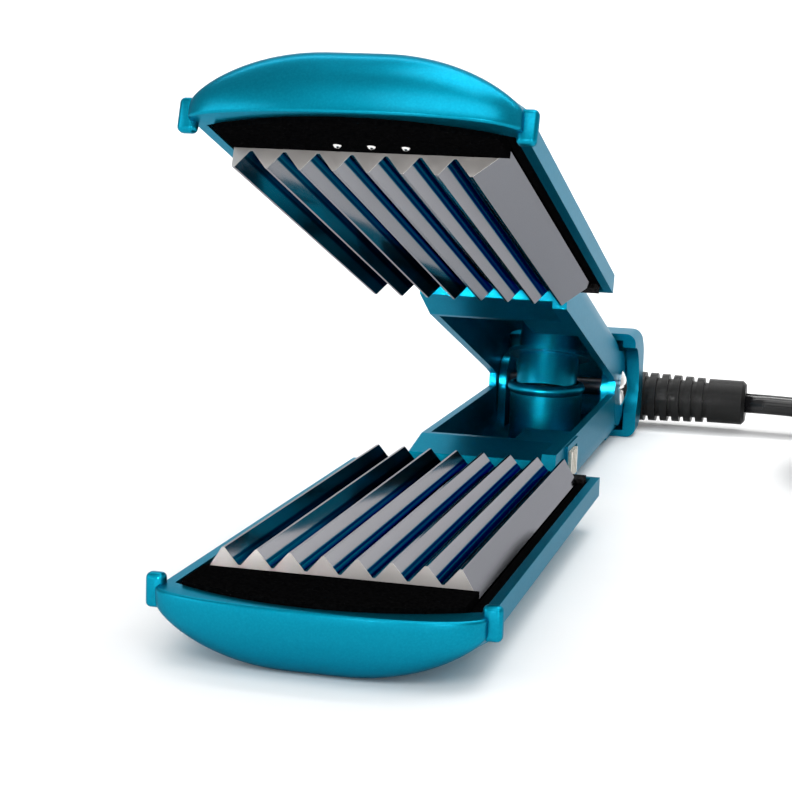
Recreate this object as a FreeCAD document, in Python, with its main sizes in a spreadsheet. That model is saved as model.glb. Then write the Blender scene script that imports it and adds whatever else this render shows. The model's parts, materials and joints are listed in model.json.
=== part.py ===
"""Hair crimper: two hinged arms with ridged heating plates, held open by a coil spring.

Units are millimetres and degrees. Every arm piece is drawn in an arm frame: X across the arm,
Y along it with the hinge axis at zero and the nose toward minus Y, Z up with the closing plane
at zero and the arm's own material below it. The distance from the hinge axis toward the nose
is called reach. The upper arm is the same frame turned over and opened about the hinge axis.
"""
import FreeCAD, Part
import math
import os

from FreeCAD import Placement, Rotation, Vector

DOC = FreeCAD.newDocument("hair_crimper")

# Driving dimensions: alias, value, what it is
DRIVING = [
    ("opening_angle", 17.9, "angle between the arms at rest"),
    ("ridge_pitch", 6.35, "ridge to ridge across the plate"),
    ("ridge_count", 8, "ridges on each plate"),
    ("ridge_rise", 3.1, "ridge top above the valley"),
    ("ridge_flat", 0.5, "width of the blunted ridge top and valley"),
    ("mesh_depth", 1.35, "how far a ridge top passes the closing plane"),
    ("plate_width", 51.2, "plate body across"),
    ("plate_length", 109.0, "plate body along the arm"),
    ("plate_rear", 122.5, "hinge axis to the plate's rear edge"),
    ("plate_thickness", 3.0, "plate metal under the valleys"),
    ("ledge_length", 10.0, "carrier in front of the plate"),
    ("ledge_level", 4.2, "carrier top below the closing plane"),
    ("carrier_floor", 1.6, "carrier thickness under the plate"),
    ("carrier_bulge", 8.0, "carrier front beyond its corners"),
    ("seat_gap", 0.15, "clearance where one piece drops into another"),
    ("arm_depth", 16.0, "closing plane to the outer face"),
    ("rest_flat", 10.0, "width of the flat land on the outer face"),
    ("shoulder_level", 8.0, "closing plane to the start of the crown"),
    ("head_width", 60.0, "housing across at the plates"),
    ("head_rim_level", 3.6, "housing rim below the closing plane"),
    ("head_rear", 116.0, "hinge axis to the rear of the head"),
    ("shell_wall", 2.0, "wall of the painted shells"),
    ("handle_width", 37.0, "handle across"),
    ("handle_rim_level", 0.3, "handle rim below the closing plane"),
    ("ramp_top", 94.0, "hinge axis to the top edge of the ramp"),
    ("ramp_foot", 110.0, "hinge axis to the foot of the ramp"),
    ("ramp_drop", 6.0, "ramp foot below the closing plane"),
    ("nose_length", 10.5, "end cap from its joint to its tip"),
    ("nose_straight", 3.0, "straight part of the end cap"),
    ("nose_blunt", 0.97, "end of the cap's bow, as a part of its whole curve"),
    ("nose_fullness", 2.2, "fullness of the end cap's side view, 2 for an ellipse"),
    ("handle_flat", 21.0, "handle's flat outer face across"),
    ("trough_reach", 77.0, "hinge axis to where the trough narrows"),
    ("trough_side", 5.0, "narrow trough's near side from the middle"),
    ("deck_fall", 2.4, "fall of the deck to the ramp"),
    ("bead_diameter", 22.0, "bead round the spring cup's rim"),
    ("bead_radius", 1.6, "radius of the bead's round section"),
    ("bead_level", 1.9, "middle of the bead above the closing plane"),
    ("sill_level", 2.2, "sill in front of the plate below the closing plane"),
    ("rivet_inset", 4.0, "plate's front edge to the rivets"),
    ("rivet_shift", 1.4, "middle rivet to the side of the middle"),
    ("ear_width", 2.4, "end cap ear across"),
    ("ear_length", 3.4, "end cap ear along the arm"),
    ("ear_height", 6.4, "end cap ear height"),
    ("pin_diameter", 5.0, "hinge pin"),
    ("pin_head_diameter", 10.4, "domed hinge pin head"),
    ("pin_head_rise", 2.0, "domed hinge pin head height"),
    ("lug_radius", 11.0, "upper hinge lug"),
    ("lug_gap", 0.6, "clearance round the upper hinge lug"),
    ("inner_lug_radius", 8.0, "lower hinge lug"),
    ("inner_lug_width", 2.2, "lower hinge lug across"),
    ("side_gap", 0.3, "clearance between the lugs"),
    ("cover_width", 45.0, "rear cover across"),
    ("cover_rear", 24.0, "hinge axis to the rear cover's end"),
    ("cover_radius", 10.0, "rear cover's rounded edges"),
    ("post_reach", 20.0, "hinge axis to the spring post"),
    ("cup_diameter", 20.4, "spring cup on the lower arm"),
    ("cup_wall", 1.0, "spring cup wall"),
    ("cup_rim_level", -0.4, "spring cup rim below the closing plane"),
    ("sleeve_diameter", 17.2, "spring sleeve on the upper arm"),
    ("sleeve_wall", 1.4, "spring sleeve wall"),
    ("sleeve_reach", 4.8, "sleeve end beyond the closing plane"),
    ("flange_diameter", 23.2, "flange round the spring sleeve"),
    ("flange_thickness", 1.2, "flange thickness"),
    ("flange_level", 4.3, "flange face below its own closing plane"),
    ("spring_diameter", 9.0, "coil spring, middle of the wire"),
    ("spring_wire", 1.2, "coil spring wire"),
    ("spring_turns", 5, "coil spring turns"),
    ("switch_reach", 89.0, "hinge axis to the middle of the slide switch"),
    ("switch_travel", 4.0, "slide switch travel"),
    ("knob_length", 9.0, "slide switch knob along the arm"),
    ("knob_height", 6.6, "slide switch knob height"),
    ("knob_depth", 4.6, "slide switch knob across the wall"),
    ("window_level", 5.4, "slide switch middle below the closing plane"),
    ("switch_frame", 1.6, "raised frame round the slide switch"),
    ("heater_width", 20.0, "ceramic heater across"),
    ("heater_length", 80.0, "ceramic heater along the arm"),
    ("clamp_thickness", 0.8, "heater clamp plate"),
    ("screw_diameter", 2.6, "screw thread"),
    ("screw_head", 4.8, "screw head"),
    ("ball_diameter", 13.0, "swivel ball"),
    ("socket_diameter", 17.4, "swivel socket outside"),
    ("socket_depth", 13.5, "swivel socket behind the rear cover"),
    ("ball_back", 8.5, "swivel ball's centre behind the rear cover"),
    ("relief_diameter", 15.6, "strain relief at its root"),
    ("relief_end_diameter", 13.4, "strain relief at its end"),
    ("relief_length", 50.0, "strain relief from the ball's centre"),
    ("relief_rib_pitch", 3.6, "strain relief rib to rib"),
    ("cord_width", 10.4, "flat cord across"),
    ("pin_clearance", 0.05, "radial running clearance of the upper lugs on the pin"),
    ("spring_seat", 2.0, "spring seat below the upper closing plane"),
    ("knob_room", 3.0, "depth of the slide switch window in the wall"),
    ("frame_rise", 0.7, "raised frame above the wall"),
    ("cap_rim_level", 3.2, "end cap rim below the closing plane"),
    ("ear_level", 4.5, "middle of the ears below the closing plane"),
    ("cover_gap", 0.3, "joint between the handle and the rear cover"),
    ("cover_rounding", 3.0, "rear cover's rounded side edges"),
    ("tongue_width", 14.0, "rear cover's tongue in the handle"),
    ("ball_offset", 3.0, "swivel ball to the side of the middle"),
    ("ball_level", 7.0, "swivel ball below the closing plane"),
    ("relief_neck", 8.0, "neck between the ball and the strain relief"),
    ("relief_start", 10.0, "ball's centre to the strain relief's root"),
    ("relief_collar", 8.0, "smooth collar at the strain relief's end"),
    ("relief_groove", 1.4, "depth of the strain relief's grooves"),
    ("pin_stub", 1.4, "pin beyond the handle's side"),
    ("cap_gap", 0.1, "pin cap clear of the upper lug"),
    ("spring_slack", 0.4, "play of the spring between its seats at rest"),
    ("knob_proud", 1.5, "slide switch knob beyond the wall"),
    ("screw_length", 3.4, "screw shank"),
    ("screw_pan", 1.2, "screw head height"),
    ("screw_room", 0.1, "radial clearance of a screw in a plain hole"),
    ("screw_spare", 0.1, "tapped hole beyond the screw's end"),
    ("rail_reach", 10.5, "carrier rail from the head's inner wall"),
    ("rail_thickness", 2.0, "carrier rail"),
    ("rail_screw_inset", 7.5, "carrier screw from the head's inner wall"),
    ("front_screw_inset", 19.5, "end cap joint to the front carrier screws"),
    ("rear_screw_inset", 24.0, "rear of the head to the rear carrier screws"),
    ("clamp_width", 24.0, "heater clamp plate across"),
    ("clamp_overhang", 7.0, "heater clamp beyond each end of the heater"),
    ("clamp_screw_inset", 2.5, "clamp screw from the clamp's end"),
    ("fuse_width", 4.0, "thermal fuse across"),
    ("fuse_length", 12.0, "thermal fuse along the arm"),
    ("fuse_height", 3.0, "thermal fuse height"),
    ("carrier_rear", 2.5, "carrier behind the plate"),
    ("seal_room", 1.0, "heat seal clear of the head's inner wall"),
    ("seal_level", 2.6, "heat seal top below the closing plane"),
    ("seal_fall", 0.6, "fall of the seal's top to its front edge"),
    ("rivet_diameter", 1.6, "plate rivet head"),
    ("rivet_rise", 0.5, "plate rivet head height"),
    ("rivet_shank", 1.2, "plate rivet shank"),
    ("rivet_pitch", 6.3, "rivet to rivet"),
    ("cover_screw_side", 4.5, "rear cover screw from the middle"),
    ("cover_screw_seat", 14.7, "rear cover screw's seat below the closing plane"),
    ("bay_inner", 7.0, "switch bay's inner side from the middle"),
    ("bay_length", 17.0, "switch bay along the arm"),
    ("bay_roof", 2.6, "switch bay's roof below the closing plane"),
    ("bay_floor", 12.0, "switch bay's floor below the closing plane"),
    ("switch_inner", 8.0, "switch body's inner side from the middle"),
    ("switch_outer", 14.3, "switch body's outer side from the middle"),
    ("switch_length", 14.0, "switch body along the arm"),
    ("switch_height", 6.0, "switch body height"),
    ("stem_length", 3.0, "knob stem along the arm"),
    ("stem_height", 2.4, "knob stem height"),
    ("stem_reach", 1.0, "knob stem beyond its flange"),
    ("knob_flange", 0.8, "flange behind the wall"),
    ("knob_flange_length", 12.0, "flange along the arm"),
    ("knob_flange_level", 10.2, "flange's lower edge below the closing plane"),
    ("knob_ribs", 4, "ribs on the knob"),
    ("knob_groove", 0.7, "depth of the grooves between the knob's ribs"),
    ("board_width", 16.0, "power board across"),
    ("board_length", 18.0, "power board along the arm"),
    ("board_reach", 103.0, "hinge axis to the middle of the power board"),
    ("board_thickness", 1.6, "power board"),
    ("board_shift", 4.0, "power board to the side of the middle"),
    ("chip_width", 6.0, "switching device across"),
    ("chip_length", 4.0, "switching device along the arm"),
    ("chip_height", 2.2, "switching device height"),
    ("chip_inset", 2.5, "switching device from the board's corner"),
    ("capacitor_diameter", 5.2, "capacitor on the board"),
    ("capacitor_height", 3.6, "capacitor height"),
    ("capacitor_inset", 5.5, "capacitor's middle from the far corner"),
    ("flank_foot", 3.8, "foot of the plate's flanks below the closing plane"),
    ("cord_thickness", 5.2, "flat cord thickness"),
    ("coil_radius", 57.0, "put-away coil, between its two columns of turns"),
    ("coil_layers", 4, "turns in the inner column, one more than in the outer"),
    ("coil_across", 138.0, "coil's centre to the side of the middle"),
    ("coil_along", -27.5, "coil's centre behind the hinge axis"),
    ("tie_thickness", 0.8, "strap round the coil"),
    ("tie_angle", 9.0, "strap's width as a turn about the coil"),
    ("tie_turn", -60.0, "strap's place round the coil, from plus X"),
    ("plug_width", 25.0, "plug across"),
    ("plug_height", 16.0, "plug height"),
    ("plug_length", 34.0, "plug body"),
    ("plug_across", 191.5, "plug to the side of the middle"),
    ("plug_along", -112.0, "plug's cord end behind the hinge axis"),
    ("blade_width", 6.35, "plug blade width"),
    ("blade_thickness", 1.5, "plug blade thickness"),
    ("blade_length", 16.0, "plug blade beyond the body"),
    ("blade_pitch", 12.7, "plug blade to blade"),
]

SHEET = DOC.addObject("Spreadsheet::Sheet", "driving")
for row, (alias, value, note) in enumerate(DRIVING, start=1):
    SHEET.set(f"A{row}", alias)
    SHEET.set(f"B{row}", str(value))
    SHEET.set(f"C{row}", note)
    SHEET.setAlias(f"B{row}", alias)
DOC.recompute()


def size(alias):
    return float(getattr(SHEET, alias))


def bind(obj, **expressions):
    """Tie properties to sheet expressions; a double underscore in a name stands for a dot."""
    for prop, expression in expressions.items():
        obj.setExpression(prop.replace("__", "."), expression)


class Piece:
    """One sub-part: a PartDesign body with short calls for its sketches and features."""

    def __init__(self, name):
        self.name = name
        self.body = DOC.addObject("PartDesign::Body", name)
        self.body.Label = name
        self.step = 0

    def next_name(self, kind):
        self.step += 1
        return f"{self.name}_{kind}_{self.step}"

    def sketch(self, role, offset, edges):
        planes = self.body.Origin.OriginFeatures
        plane = [feature for feature in planes if feature.Role == role][0]
        drawn = self.body.newObject("Sketcher::SketchObject", self.next_name("sketch"))
        drawn.AttachmentSupport = [(plane, "")]
        drawn.MapMode = "FlatFace"
        bind(drawn, AttachmentOffset__Base__z=offset)
        for edge in edges:
            drawn.addGeometry(edge)
        return drawn

    def pad(self, role, offset, edges, length, back=False, both=False):
        feature = self.body.newObject("PartDesign::Pad", self.next_name("pad"))
        feature.Profile = self.sketch(role, offset, edges)
        bind(feature, Length=length)
        feature.Reversed = back
        feature.Midplane = both
        return feature

    def pocket(self, role, offset, edges, length, back=False, both=False):
        feature = self.body.newObject("PartDesign::Pocket", self.next_name("pocket"))
        feature.Profile = self.sketch(role, offset, edges)
        bind(feature, Length=length)
        feature.Reversed = back
        feature.Midplane = both
        return feature

    def loft(self, role, sections):
        sketches = [self.sketch(role, offset, edges) for offset, edges in sections]
        feature = self.body.newObject("PartDesign::AdditiveLoft", self.next_name("loft"))
        feature.Profile = sketches[0]
        feature.Sections = sketches[1:]
        return feature

    def turn(self, role, edges, axis):
        feature = self.body.newObject("PartDesign::Revolution", self.next_name("turn"))
        drawn = self.sketch(role, "0", edges)
        feature.Profile = drawn
        feature.ReferenceAxis = (drawn, [axis])
        feature.Angle = 360
        return feature


def polygon(points):
    corners = [Vector(x, y, 0) for x, y in points]
    return [Part.LineSegment(a, b) for a, b in zip(corners, corners[1:] + corners[:1])]


def rectangle(low_x, low_y, high_x, high_y):
    return polygon([(low_x, low_y), (high_x, low_y), (high_x, high_y), (low_x, high_y)])


def circle(x, y, radius):
    return [Part.Circle(Vector(x, y, 0), Vector(0, 0, 1), radius)]


def flip(point):
    return Vector(-point.x, point.y, point.z)


def crown_radius(run, rise):
    """Radius of the arc that leaves the flat land level and meets the upright side."""
    return (run ** 2 + rise ** 2) / (2 * rise)


def arm_section(half_width, rim, depth, flat, shoulder):
    """Flat rim, upright sides and a crowned outer face with a flat land, drawn in X and Z."""
    run = half_width - flat
    radius = crown_radius(run, depth - shoulder)
    half_turn = math.asin(run / radius) / 2
    side = Vector(half_width, -shoulder, 0)
    middle = Vector(flat + radius * math.sin(half_turn), radius - depth - radius * math.cos(half_turn), 0)
    land = Vector(flat, -depth, 0)
    top = Vector(half_width, -rim, 0)
    return [
        Part.LineSegment(flip(top), top),
        Part.LineSegment(top, side),
        Part.Arc(side, middle, land),
        Part.LineSegment(land, flip(land)),
        Part.Arc(flip(land), flip(middle), flip(side)),
        Part.LineSegment(flip(side), flip(top)),
    ]


def shell_section(width, land, rim, inset=0.0):
    """The arm section at a width, or its inside when inset by the wall and open above the rim."""
    level = rim if inset == 0 else -1.0
    depth = size("arm_depth")
    flat = land / 2
    run = width / 2 - flat
    radius = crown_radius(run, depth - size("shoulder_level"))
    shoulder = depth - radius + math.sqrt((radius - inset) ** 2 - (run - inset) ** 2)
    return arm_section(width / 2 - inset, level, depth - inset, flat, shoulder)


PLATE_FRONT = size("plate_rear") + size("plate_length")
PLATE_MIDDLE = size("plate_rear") + size("plate_length") / 2
CAP_JOINT = PLATE_FRONT + size("ledge_length")
NOSE_TIP = CAP_JOINT + size("nose_length")
WALL = size("shell_wall")
FLOOR = size("arm_depth") - WALL
VALLEY = size("ridge_rise") - size("mesh_depth")
PLATE_BASE = VALLEY + size("plate_thickness")
CARRIER_BASE = PLATE_BASE + size("carrier_floor")
CAP_JOINT_CELLS = "driving.plate_rear + driving.plate_length + driving.ledge_length"
DECK_EDGE = size("handle_width") / 2 - 3.5
SIDE_EDGE = size("handle_width") / 2


def carrier_screw_spots():
    """Seats of the four screws from the rails into the carrier, in the arm frame."""
    side = size("head_width") / 2 - WALL - size("rail_screw_inset")
    reaches = (size("head_rear") + size("rear_screw_inset"), CAP_JOINT - size("front_screw_inset"))
    level = -CARRIER_BASE - size("rail_thickness")
    return [Vector(at * side, -reach, level) for reach in reaches for at in (-1, 1)]


def clamp_screw_spots():
    """Seats of the two screws through the heater clamp into the plate."""
    along = size("heater_length") / 2 + size("clamp_overhang") - size("clamp_screw_inset")
    level = -CARRIER_BASE - size("clamp_thickness")
    return [Vector(0, -PLATE_MIDDLE + at * along, level) for at in (-1, 1)]


def cover_screw_spots():
    """Seats of the two screws from below into the rear cover's tongue."""
    side = size("cover_screw_side")
    return [Vector(at * side, 0, -size("cover_screw_seat")) for at in (-1, 1)]


def front_arc(half_width, base, bulge):
    """A chord at base with a shallow arc bulging toward the nose, in X and Y of the arm frame."""
    left = Vector(-half_width, -base, 0)
    right = Vector(half_width, -base, 0)
    return [Part.LineSegment(left, right), Part.Arc(right, Vector(0, -base - bulge, 0), left)]


def carrier_half():
    """Half the carrier's width, clear of the head's inner walls."""
    return size("head_width") / 2 - WALL - size("seat_gap")


def front_radius():
    """Radius of the carrier's curved front, from its chord and its bulge."""
    bulge = size("carrier_bulge")
    return (carrier_half() ** 2 + bulge ** 2) / (2 * bulge)


def trough_section(side):
    """The trough beside the switch bay: from the far wall, with its rounded corner, to trough_side."""
    radius = SIDE_EDGE - size("handle_flat") / 2 - WALL
    bend = radius * (1 - math.sqrt(0.5))
    far = -side * (SIDE_EDGE - WALL)
    near = side * size("trough_side")
    foot = Vector(far + side * radius, -FLOOR, 0)
    rise = Vector(far, -FLOOR + radius, 0)
    middle = Vector(far + side * bend, -FLOOR + bend, 0)
    points = [Vector(near, -FLOOR, 0), Vector(near, 1, 0), Vector(far, 1, 0), rise]
    edges = [Part.LineSegment(a, b) for a, b in zip(points, points[1:])]
    return edges + [Part.Arc(rise, middle, foot), Part.LineSegment(foot, points[0])]


def arm_shell(name, side):
    """Painted shell of one arm: wide head round the plate, narrow handle and its hinge lugs.

    side is +1 where the upright wall beside the deck is at plus X, -1 where it is at minus X.
    """
    piece = Piece(name)
    head = shell_section(size("head_width"), size("rest_flat"), size("head_rim_level"))
    piece.pad("XZ_Plane", "driving.head_rear", head, f"{CAP_JOINT_CELLS} - driving.head_rear")
    handle = shell_section(size("handle_width"), size("handle_flat"), size("handle_rim_level"))
    rear = "-driving.inner_lug_radius" if side > 0 else "driving.inner_lug_radius"
    piece.pad("XZ_Plane", rear, handle, f"driving.head_rear + driving.shell_wall - ({rear})")
    inside = shell_section(size("head_width"), size("rest_flat"), 0, WALL)
    piece.pocket(
        "XZ_Plane",
        "driving.head_rear + driving.shell_wall",
        inside,
        f"{CAP_JOINT_CELLS} - driving.head_rear - driving.shell_wall + 1",
        back=True,
    )
    hollow = shell_section(size("handle_width"), size("handle_flat"), 0, WALL)
    open_end = "-driving.inner_lug_radius - 1"
    piece.pocket("XZ_Plane", open_end, hollow, f"driving.trough_reach - ({open_end})", back=True)
    narrow = trough_section(side)
    depth = "driving.ramp_top - driving.shell_wall - driving.trough_reach"
    piece.pocket("XZ_Plane", "driving.trough_reach", narrow, depth, back=True)
    deck = [
        (-size("ramp_top"), 1),
        (-size("ramp_top"), -size("handle_rim_level")),
        (-size("ramp_foot") + 3, -size("handle_rim_level") - size("deck_fall")),
        (-size("ramp_foot") + 2, -size("ramp_drop")),
        (-size("head_rear"), -size("ramp_drop")),
        (-size("head_rear"), 1),
    ]
    far_side = -side * (SIDE_EDGE + 1)
    near_side = side * DECK_EDGE
    low, high = min(far_side, near_side), max(far_side, near_side)
    piece.pocket("YZ_Plane", str(low), polygon(deck), str(high - low), back=True)
    wall_end = [
        (-size("ramp_foot"), 1),
        (-size("ramp_foot"), -size("handle_rim_level")),
        (-size("ramp_foot") - 2, -size("ramp_drop")),
        (-size("head_rear"), -size("ramp_drop")),
        (-size("head_rear"), 1),
    ]
    piece.pocket("YZ_Plane", "0", polygon(wall_end), "driving.handle_width + 4", both=True)
    above_wall = rectangle(-size("head_rear") - WALL - 1, -size("head_rim_level"), -size("head_rear") + 1, 1)
    piece.pocket("YZ_Plane", "0", above_wall, "driving.handle_width + 4", both=True)
    wire_space = rectangle(
        -size("head_rear") - WALL - 1, -FLOOR, -size("ramp_top") + WALL + 1, -size("ramp_drop") - WALL
    )
    piece.pocket("YZ_Plane", "0", wire_space, "driving.handle_width - 5.5 * driving.shell_wall", both=True)
    return piece


def add_rails(piece):
    """Rails along both inner walls of the head, drilled for the screws that hold the carrier."""
    wall = size("head_width") / 2 - WALL
    for at in (-1, 1):
        inner, outer = sorted((at * (wall - size("rail_reach")), at * (wall + 0.5)))
        piece.pad(
            "XZ_Plane",
            "driving.head_rear + driving.shell_wall",
            rectangle(inner, -CARRIER_BASE - size("rail_thickness"), outer, -CARRIER_BASE),
            f"{CAP_JOINT_CELLS} - driving.head_rear - driving.shell_wall - 1",
        )
    holes = []
    for spot in carrier_screw_spots():
        holes += circle(spot.x, spot.y, size("screw_diameter") / 2 + size("screw_room"))
    piece.pocket("XY_Plane", str(-CARRIER_BASE), holes, "driving.rail_thickness")


def lug_outline(radius, foot, depth):
    """A round lug on a straight web, drawn in Y and Z round the hinge axis."""
    front = Vector(-radius, 0, 0)
    rear = Vector(radius, 0, 0)
    web_front = Vector(-foot, -depth, 0)
    web_rear = Vector(radius, -depth, 0)
    return [
        Part.Arc(rear, Vector(0, radius, 0), front),
        Part.LineSegment(front, web_front),
        Part.LineSegment(web_front, web_rear),
        Part.LineSegment(web_rear, rear),
    ]


def add_lower_hinge(piece):
    """Room for the upper lugs, the lower lugs inside them and the pin bore."""
    room = circle(0, 0, size("lug_radius") + size("lug_gap"))
    inner_face = SIDE_EDGE - WALL - size("side_gap")
    for at in (-1, 1):
        start = at * inner_face
        piece.pocket("YZ_Plane", str(start), room, "driving.shell_wall + 2", back=at > 0)
    outline = lug_outline(size("inner_lug_radius"), size("inner_lug_radius"), FLOOR + 0.5)
    bore = circle(0, 0, size("pin_diameter") / 2)
    for at in (-1, 1):
        start = at * inner_face
        piece.pad("YZ_Plane", str(start), outline + bore, "driving.inner_lug_width", back=at > 0)


def add_upper_hinge(piece):
    """Lugs in line with the handle walls, each with a running bore for the pin."""
    radius = size("lug_radius")
    foot = Vector(-radius - 6, -size("handle_rim_level"), 0)
    low = Vector(-radius - 6, -size("shoulder_level"), 0)
    touch = Vector(0, -radius, 0)
    outline = [
        Part.Arc(touch, Vector(radius, 0, 0), Vector(0, radius, 0)),
        Part.Arc(Vector(0, radius, 0), Vector(-radius * 0.8, radius * 0.6, 0), Vector(-radius, 0, 0)),
        Part.LineSegment(Vector(-radius, 0, 0), foot),
        Part.LineSegment(foot, low),
        Part.LineSegment(low, touch),
    ]
    bore = circle(0, 0, size("pin_diameter") / 2 + size("pin_clearance"))
    for at in (-1, 1):
        start = at * (SIDE_EDGE - WALL)
        piece.pad("YZ_Plane", str(start), outline + bore, "driving.shell_wall", back=at < 0)


def add_spring_cup(piece):
    """Round cup moulded on the lower handle's floor."""
    radius = size("cup_diameter") / 2
    reach = -size("post_reach")
    height = "driving.arm_depth - driving.shell_wall / 2 - driving.cup_rim_level"
    base = "-driving.arm_depth + driving.shell_wall / 2"
    bore = circle(0, reach, radius - size("cup_wall"))
    piece.pad("XY_Plane", base, circle(0, reach, radius) + bore, height)
    bead = piece.body.newObject("PartDesign::AdditiveTorus", piece.next_name("bead"))
    bead.Radius1 = size("bead_diameter") / 2 - size("bead_radius")
    bead.Radius2 = size("bead_radius")
    bead.Placement = Placement(Vector(0, reach, size("bead_level")), Rotation())
    piece.pocket("XY_Plane", "driving.bead_level + 2 * driving.bead_radius", bore, "4 * driving.bead_radius")


def add_spring_sleeve(piece):
    """Round post with a flange, bored from its open end to take the spring."""
    radius = size("sleeve_diameter") / 2
    reach = -size("post_reach")
    base = "-driving.arm_depth + driving.shell_wall / 2"
    height = "driving.arm_depth - driving.shell_wall / 2 + driving.sleeve_reach"
    piece.pad("XY_Plane", base, circle(0, reach, radius), height)
    piece.pocket(
        "XY_Plane",
        "driving.sleeve_reach",
        circle(0, reach, radius - size("sleeve_wall")),
        "driving.sleeve_reach + driving.spring_seat",
    )
    piece.pad(
        "XY_Plane",
        "-driving.flange_level - driving.flange_thickness",
        circle(0, reach, size("flange_diameter") / 2),
        "driving.flange_thickness",
    )


def switch_window(clearance):
    """Outline of the slide switch with a margin round its whole travel, in Y and Z."""
    half = size("knob_length") / 2 + size("switch_travel") / 2 + clearance
    high = size("knob_height") / 2 + clearance
    reach = -size("switch_reach")
    level = -size("window_level")
    return rectangle(reach - half, level - high, reach + half, level + high)


def add_switch_window(piece):
    """Window in the upright wall with a raised frame round it."""
    frame = switch_window(size("switch_frame")) + switch_window(size("seat_gap"))
    piece.pocket(
        "YZ_Plane",
        "driving.handle_width / 2 - driving.knob_room - driving.seat_gap",
        switch_window(size("seat_gap")),
        "driving.knob_room + 1",
        back=True,
    )
    piece.pad("YZ_Plane", "driving.handle_width / 2 - 0.2", frame, "0.2 + driving.frame_rise")


def end_cap(name):
    """Nose cap: a short straight end, then a loft of arm sections that shrink like a bow, with ears."""
    piece = Piece(name)
    rim = size("cap_rim_level")
    half = size("head_width") / 2
    depth = size("arm_depth")
    flat = size("rest_flat") / 2
    shoulder = size("shoulder_level")
    straight = arm_section(half, rim, depth, flat, shoulder)
    piece.pad("XZ_Plane", CAP_JOINT_CELLS, straight, "driving.nose_straight")
    bow = size("nose_length") - size("nose_straight")
    plan = (half ** 2 + bow ** 2) / (2 * bow)
    sections = []
    for along in (0, 0.25, 0.5, 0.7, 0.85, 0.95, 1):
        part = along * size("nose_blunt")
        wide = math.sqrt(plan ** 2 - (plan - bow + part * bow) ** 2)
        swell = (1 - part ** size("nose_fullness")) ** (1 / size("nose_fullness"))
        edges = arm_section(
            wide,
            rim,
            rim + (depth - rim) * swell,
            flat * wide / half,
            rim + (shoulder - rim) * swell,
        )
        start = f"{CAP_JOINT_CELLS} + driving.nose_straight"
        sections.append((f"{start} + {along} * (driving.nose_length - driving.nose_straight)", edges))
    piece.loft("XZ_Plane", sections)
    return piece


def add_cap_details(piece):
    half = size("head_width") / 2
    gap = size("seat_gap")
    radius = front_radius() + gap
    centre = CAP_JOINT + size("carrier_bulge") - front_radius()
    chord = math.sqrt(radius ** 2 - (CAP_JOINT - centre) ** 2)
    recess = front_arc(chord, CAP_JOINT, size("carrier_bulge") + gap)
    piece.pocket("XY_Plane", "0", recess, str(CARRIER_BASE + gap))
    low = size("ear_level") - size("ear_height") / 2
    for at in (-1, 1):
        inner, outer = sorted((at * (half - WALL + 2 * gap), at * (half + size("ear_width"))))
        piece.pad(
            "XZ_Plane",
            CAP_JOINT_CELLS,
            rectangle(inner, -low - size("ear_height"), outer, -low),
            "driving.ear_length",
        )


def plate_outline(shift):
    """Ridged top, sloping flanks and flat base; shift moves the ridges across the plate."""
    count = int(size("ridge_count"))
    pitch = size("ridge_pitch")
    top = size("mesh_depth")
    blunt = size("ridge_flat") / 2
    half = size("plate_width") / 2
    first = shift - (count - 1) / 2 * pitch
    points = [(-half, -PLATE_BASE), (-half, -size("flank_foot"))]
    for index in range(count):
        ridge = first + index * pitch
        points.append((ridge - blunt, top))
        points.append((ridge + blunt, top))
        if index < count - 1:
            valley = ridge + pitch / 2
            points.append((valley - blunt, -VALLEY))
            points.append((valley + blunt, -VALLEY))
    points += [(half, -size("flank_foot")), (half, -PLATE_BASE)]
    return polygon(points)


def crimp_plate(name, shift):
    piece = Piece(name)
    piece.pad("XZ_Plane", "driving.plate_rear", plate_outline(shift), "driving.plate_length")
    tapped = []
    for spot in clamp_screw_spots():
        tapped += circle(spot.x, spot.y, size("screw_diameter") / 2)
    depth = "driving.screw_length + driving.screw_spare - driving.clamp_thickness - driving.carrier_floor"
    piece.pocket("XY_Plane", str(-PLATE_BASE), tapped, depth, back=True)
    return piece


def sill_outline():
    """The raised sill in front of the plate: as wide as the plate's seat, with the curved front."""
    side = size("plate_width") / 2 + size("seat_gap")
    rear = -PLATE_FRONT - size("seat_gap")
    centre = CAP_JOINT + size("carrier_bulge") - front_radius()
    front = -centre - math.sqrt(front_radius() ** 2 - side ** 2)
    left = Vector(-side, front, 0)
    right = Vector(side, front, 0)
    return [
        Part.LineSegment(Vector(-side, rear, 0), Vector(side, rear, 0)),
        Part.LineSegment(Vector(side, rear, 0), right),
        Part.Arc(right, Vector(0, -CAP_JOINT - size("carrier_bulge"), 0), left),
        Part.LineSegment(left, Vector(-side, rear, 0)),
    ]


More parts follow.
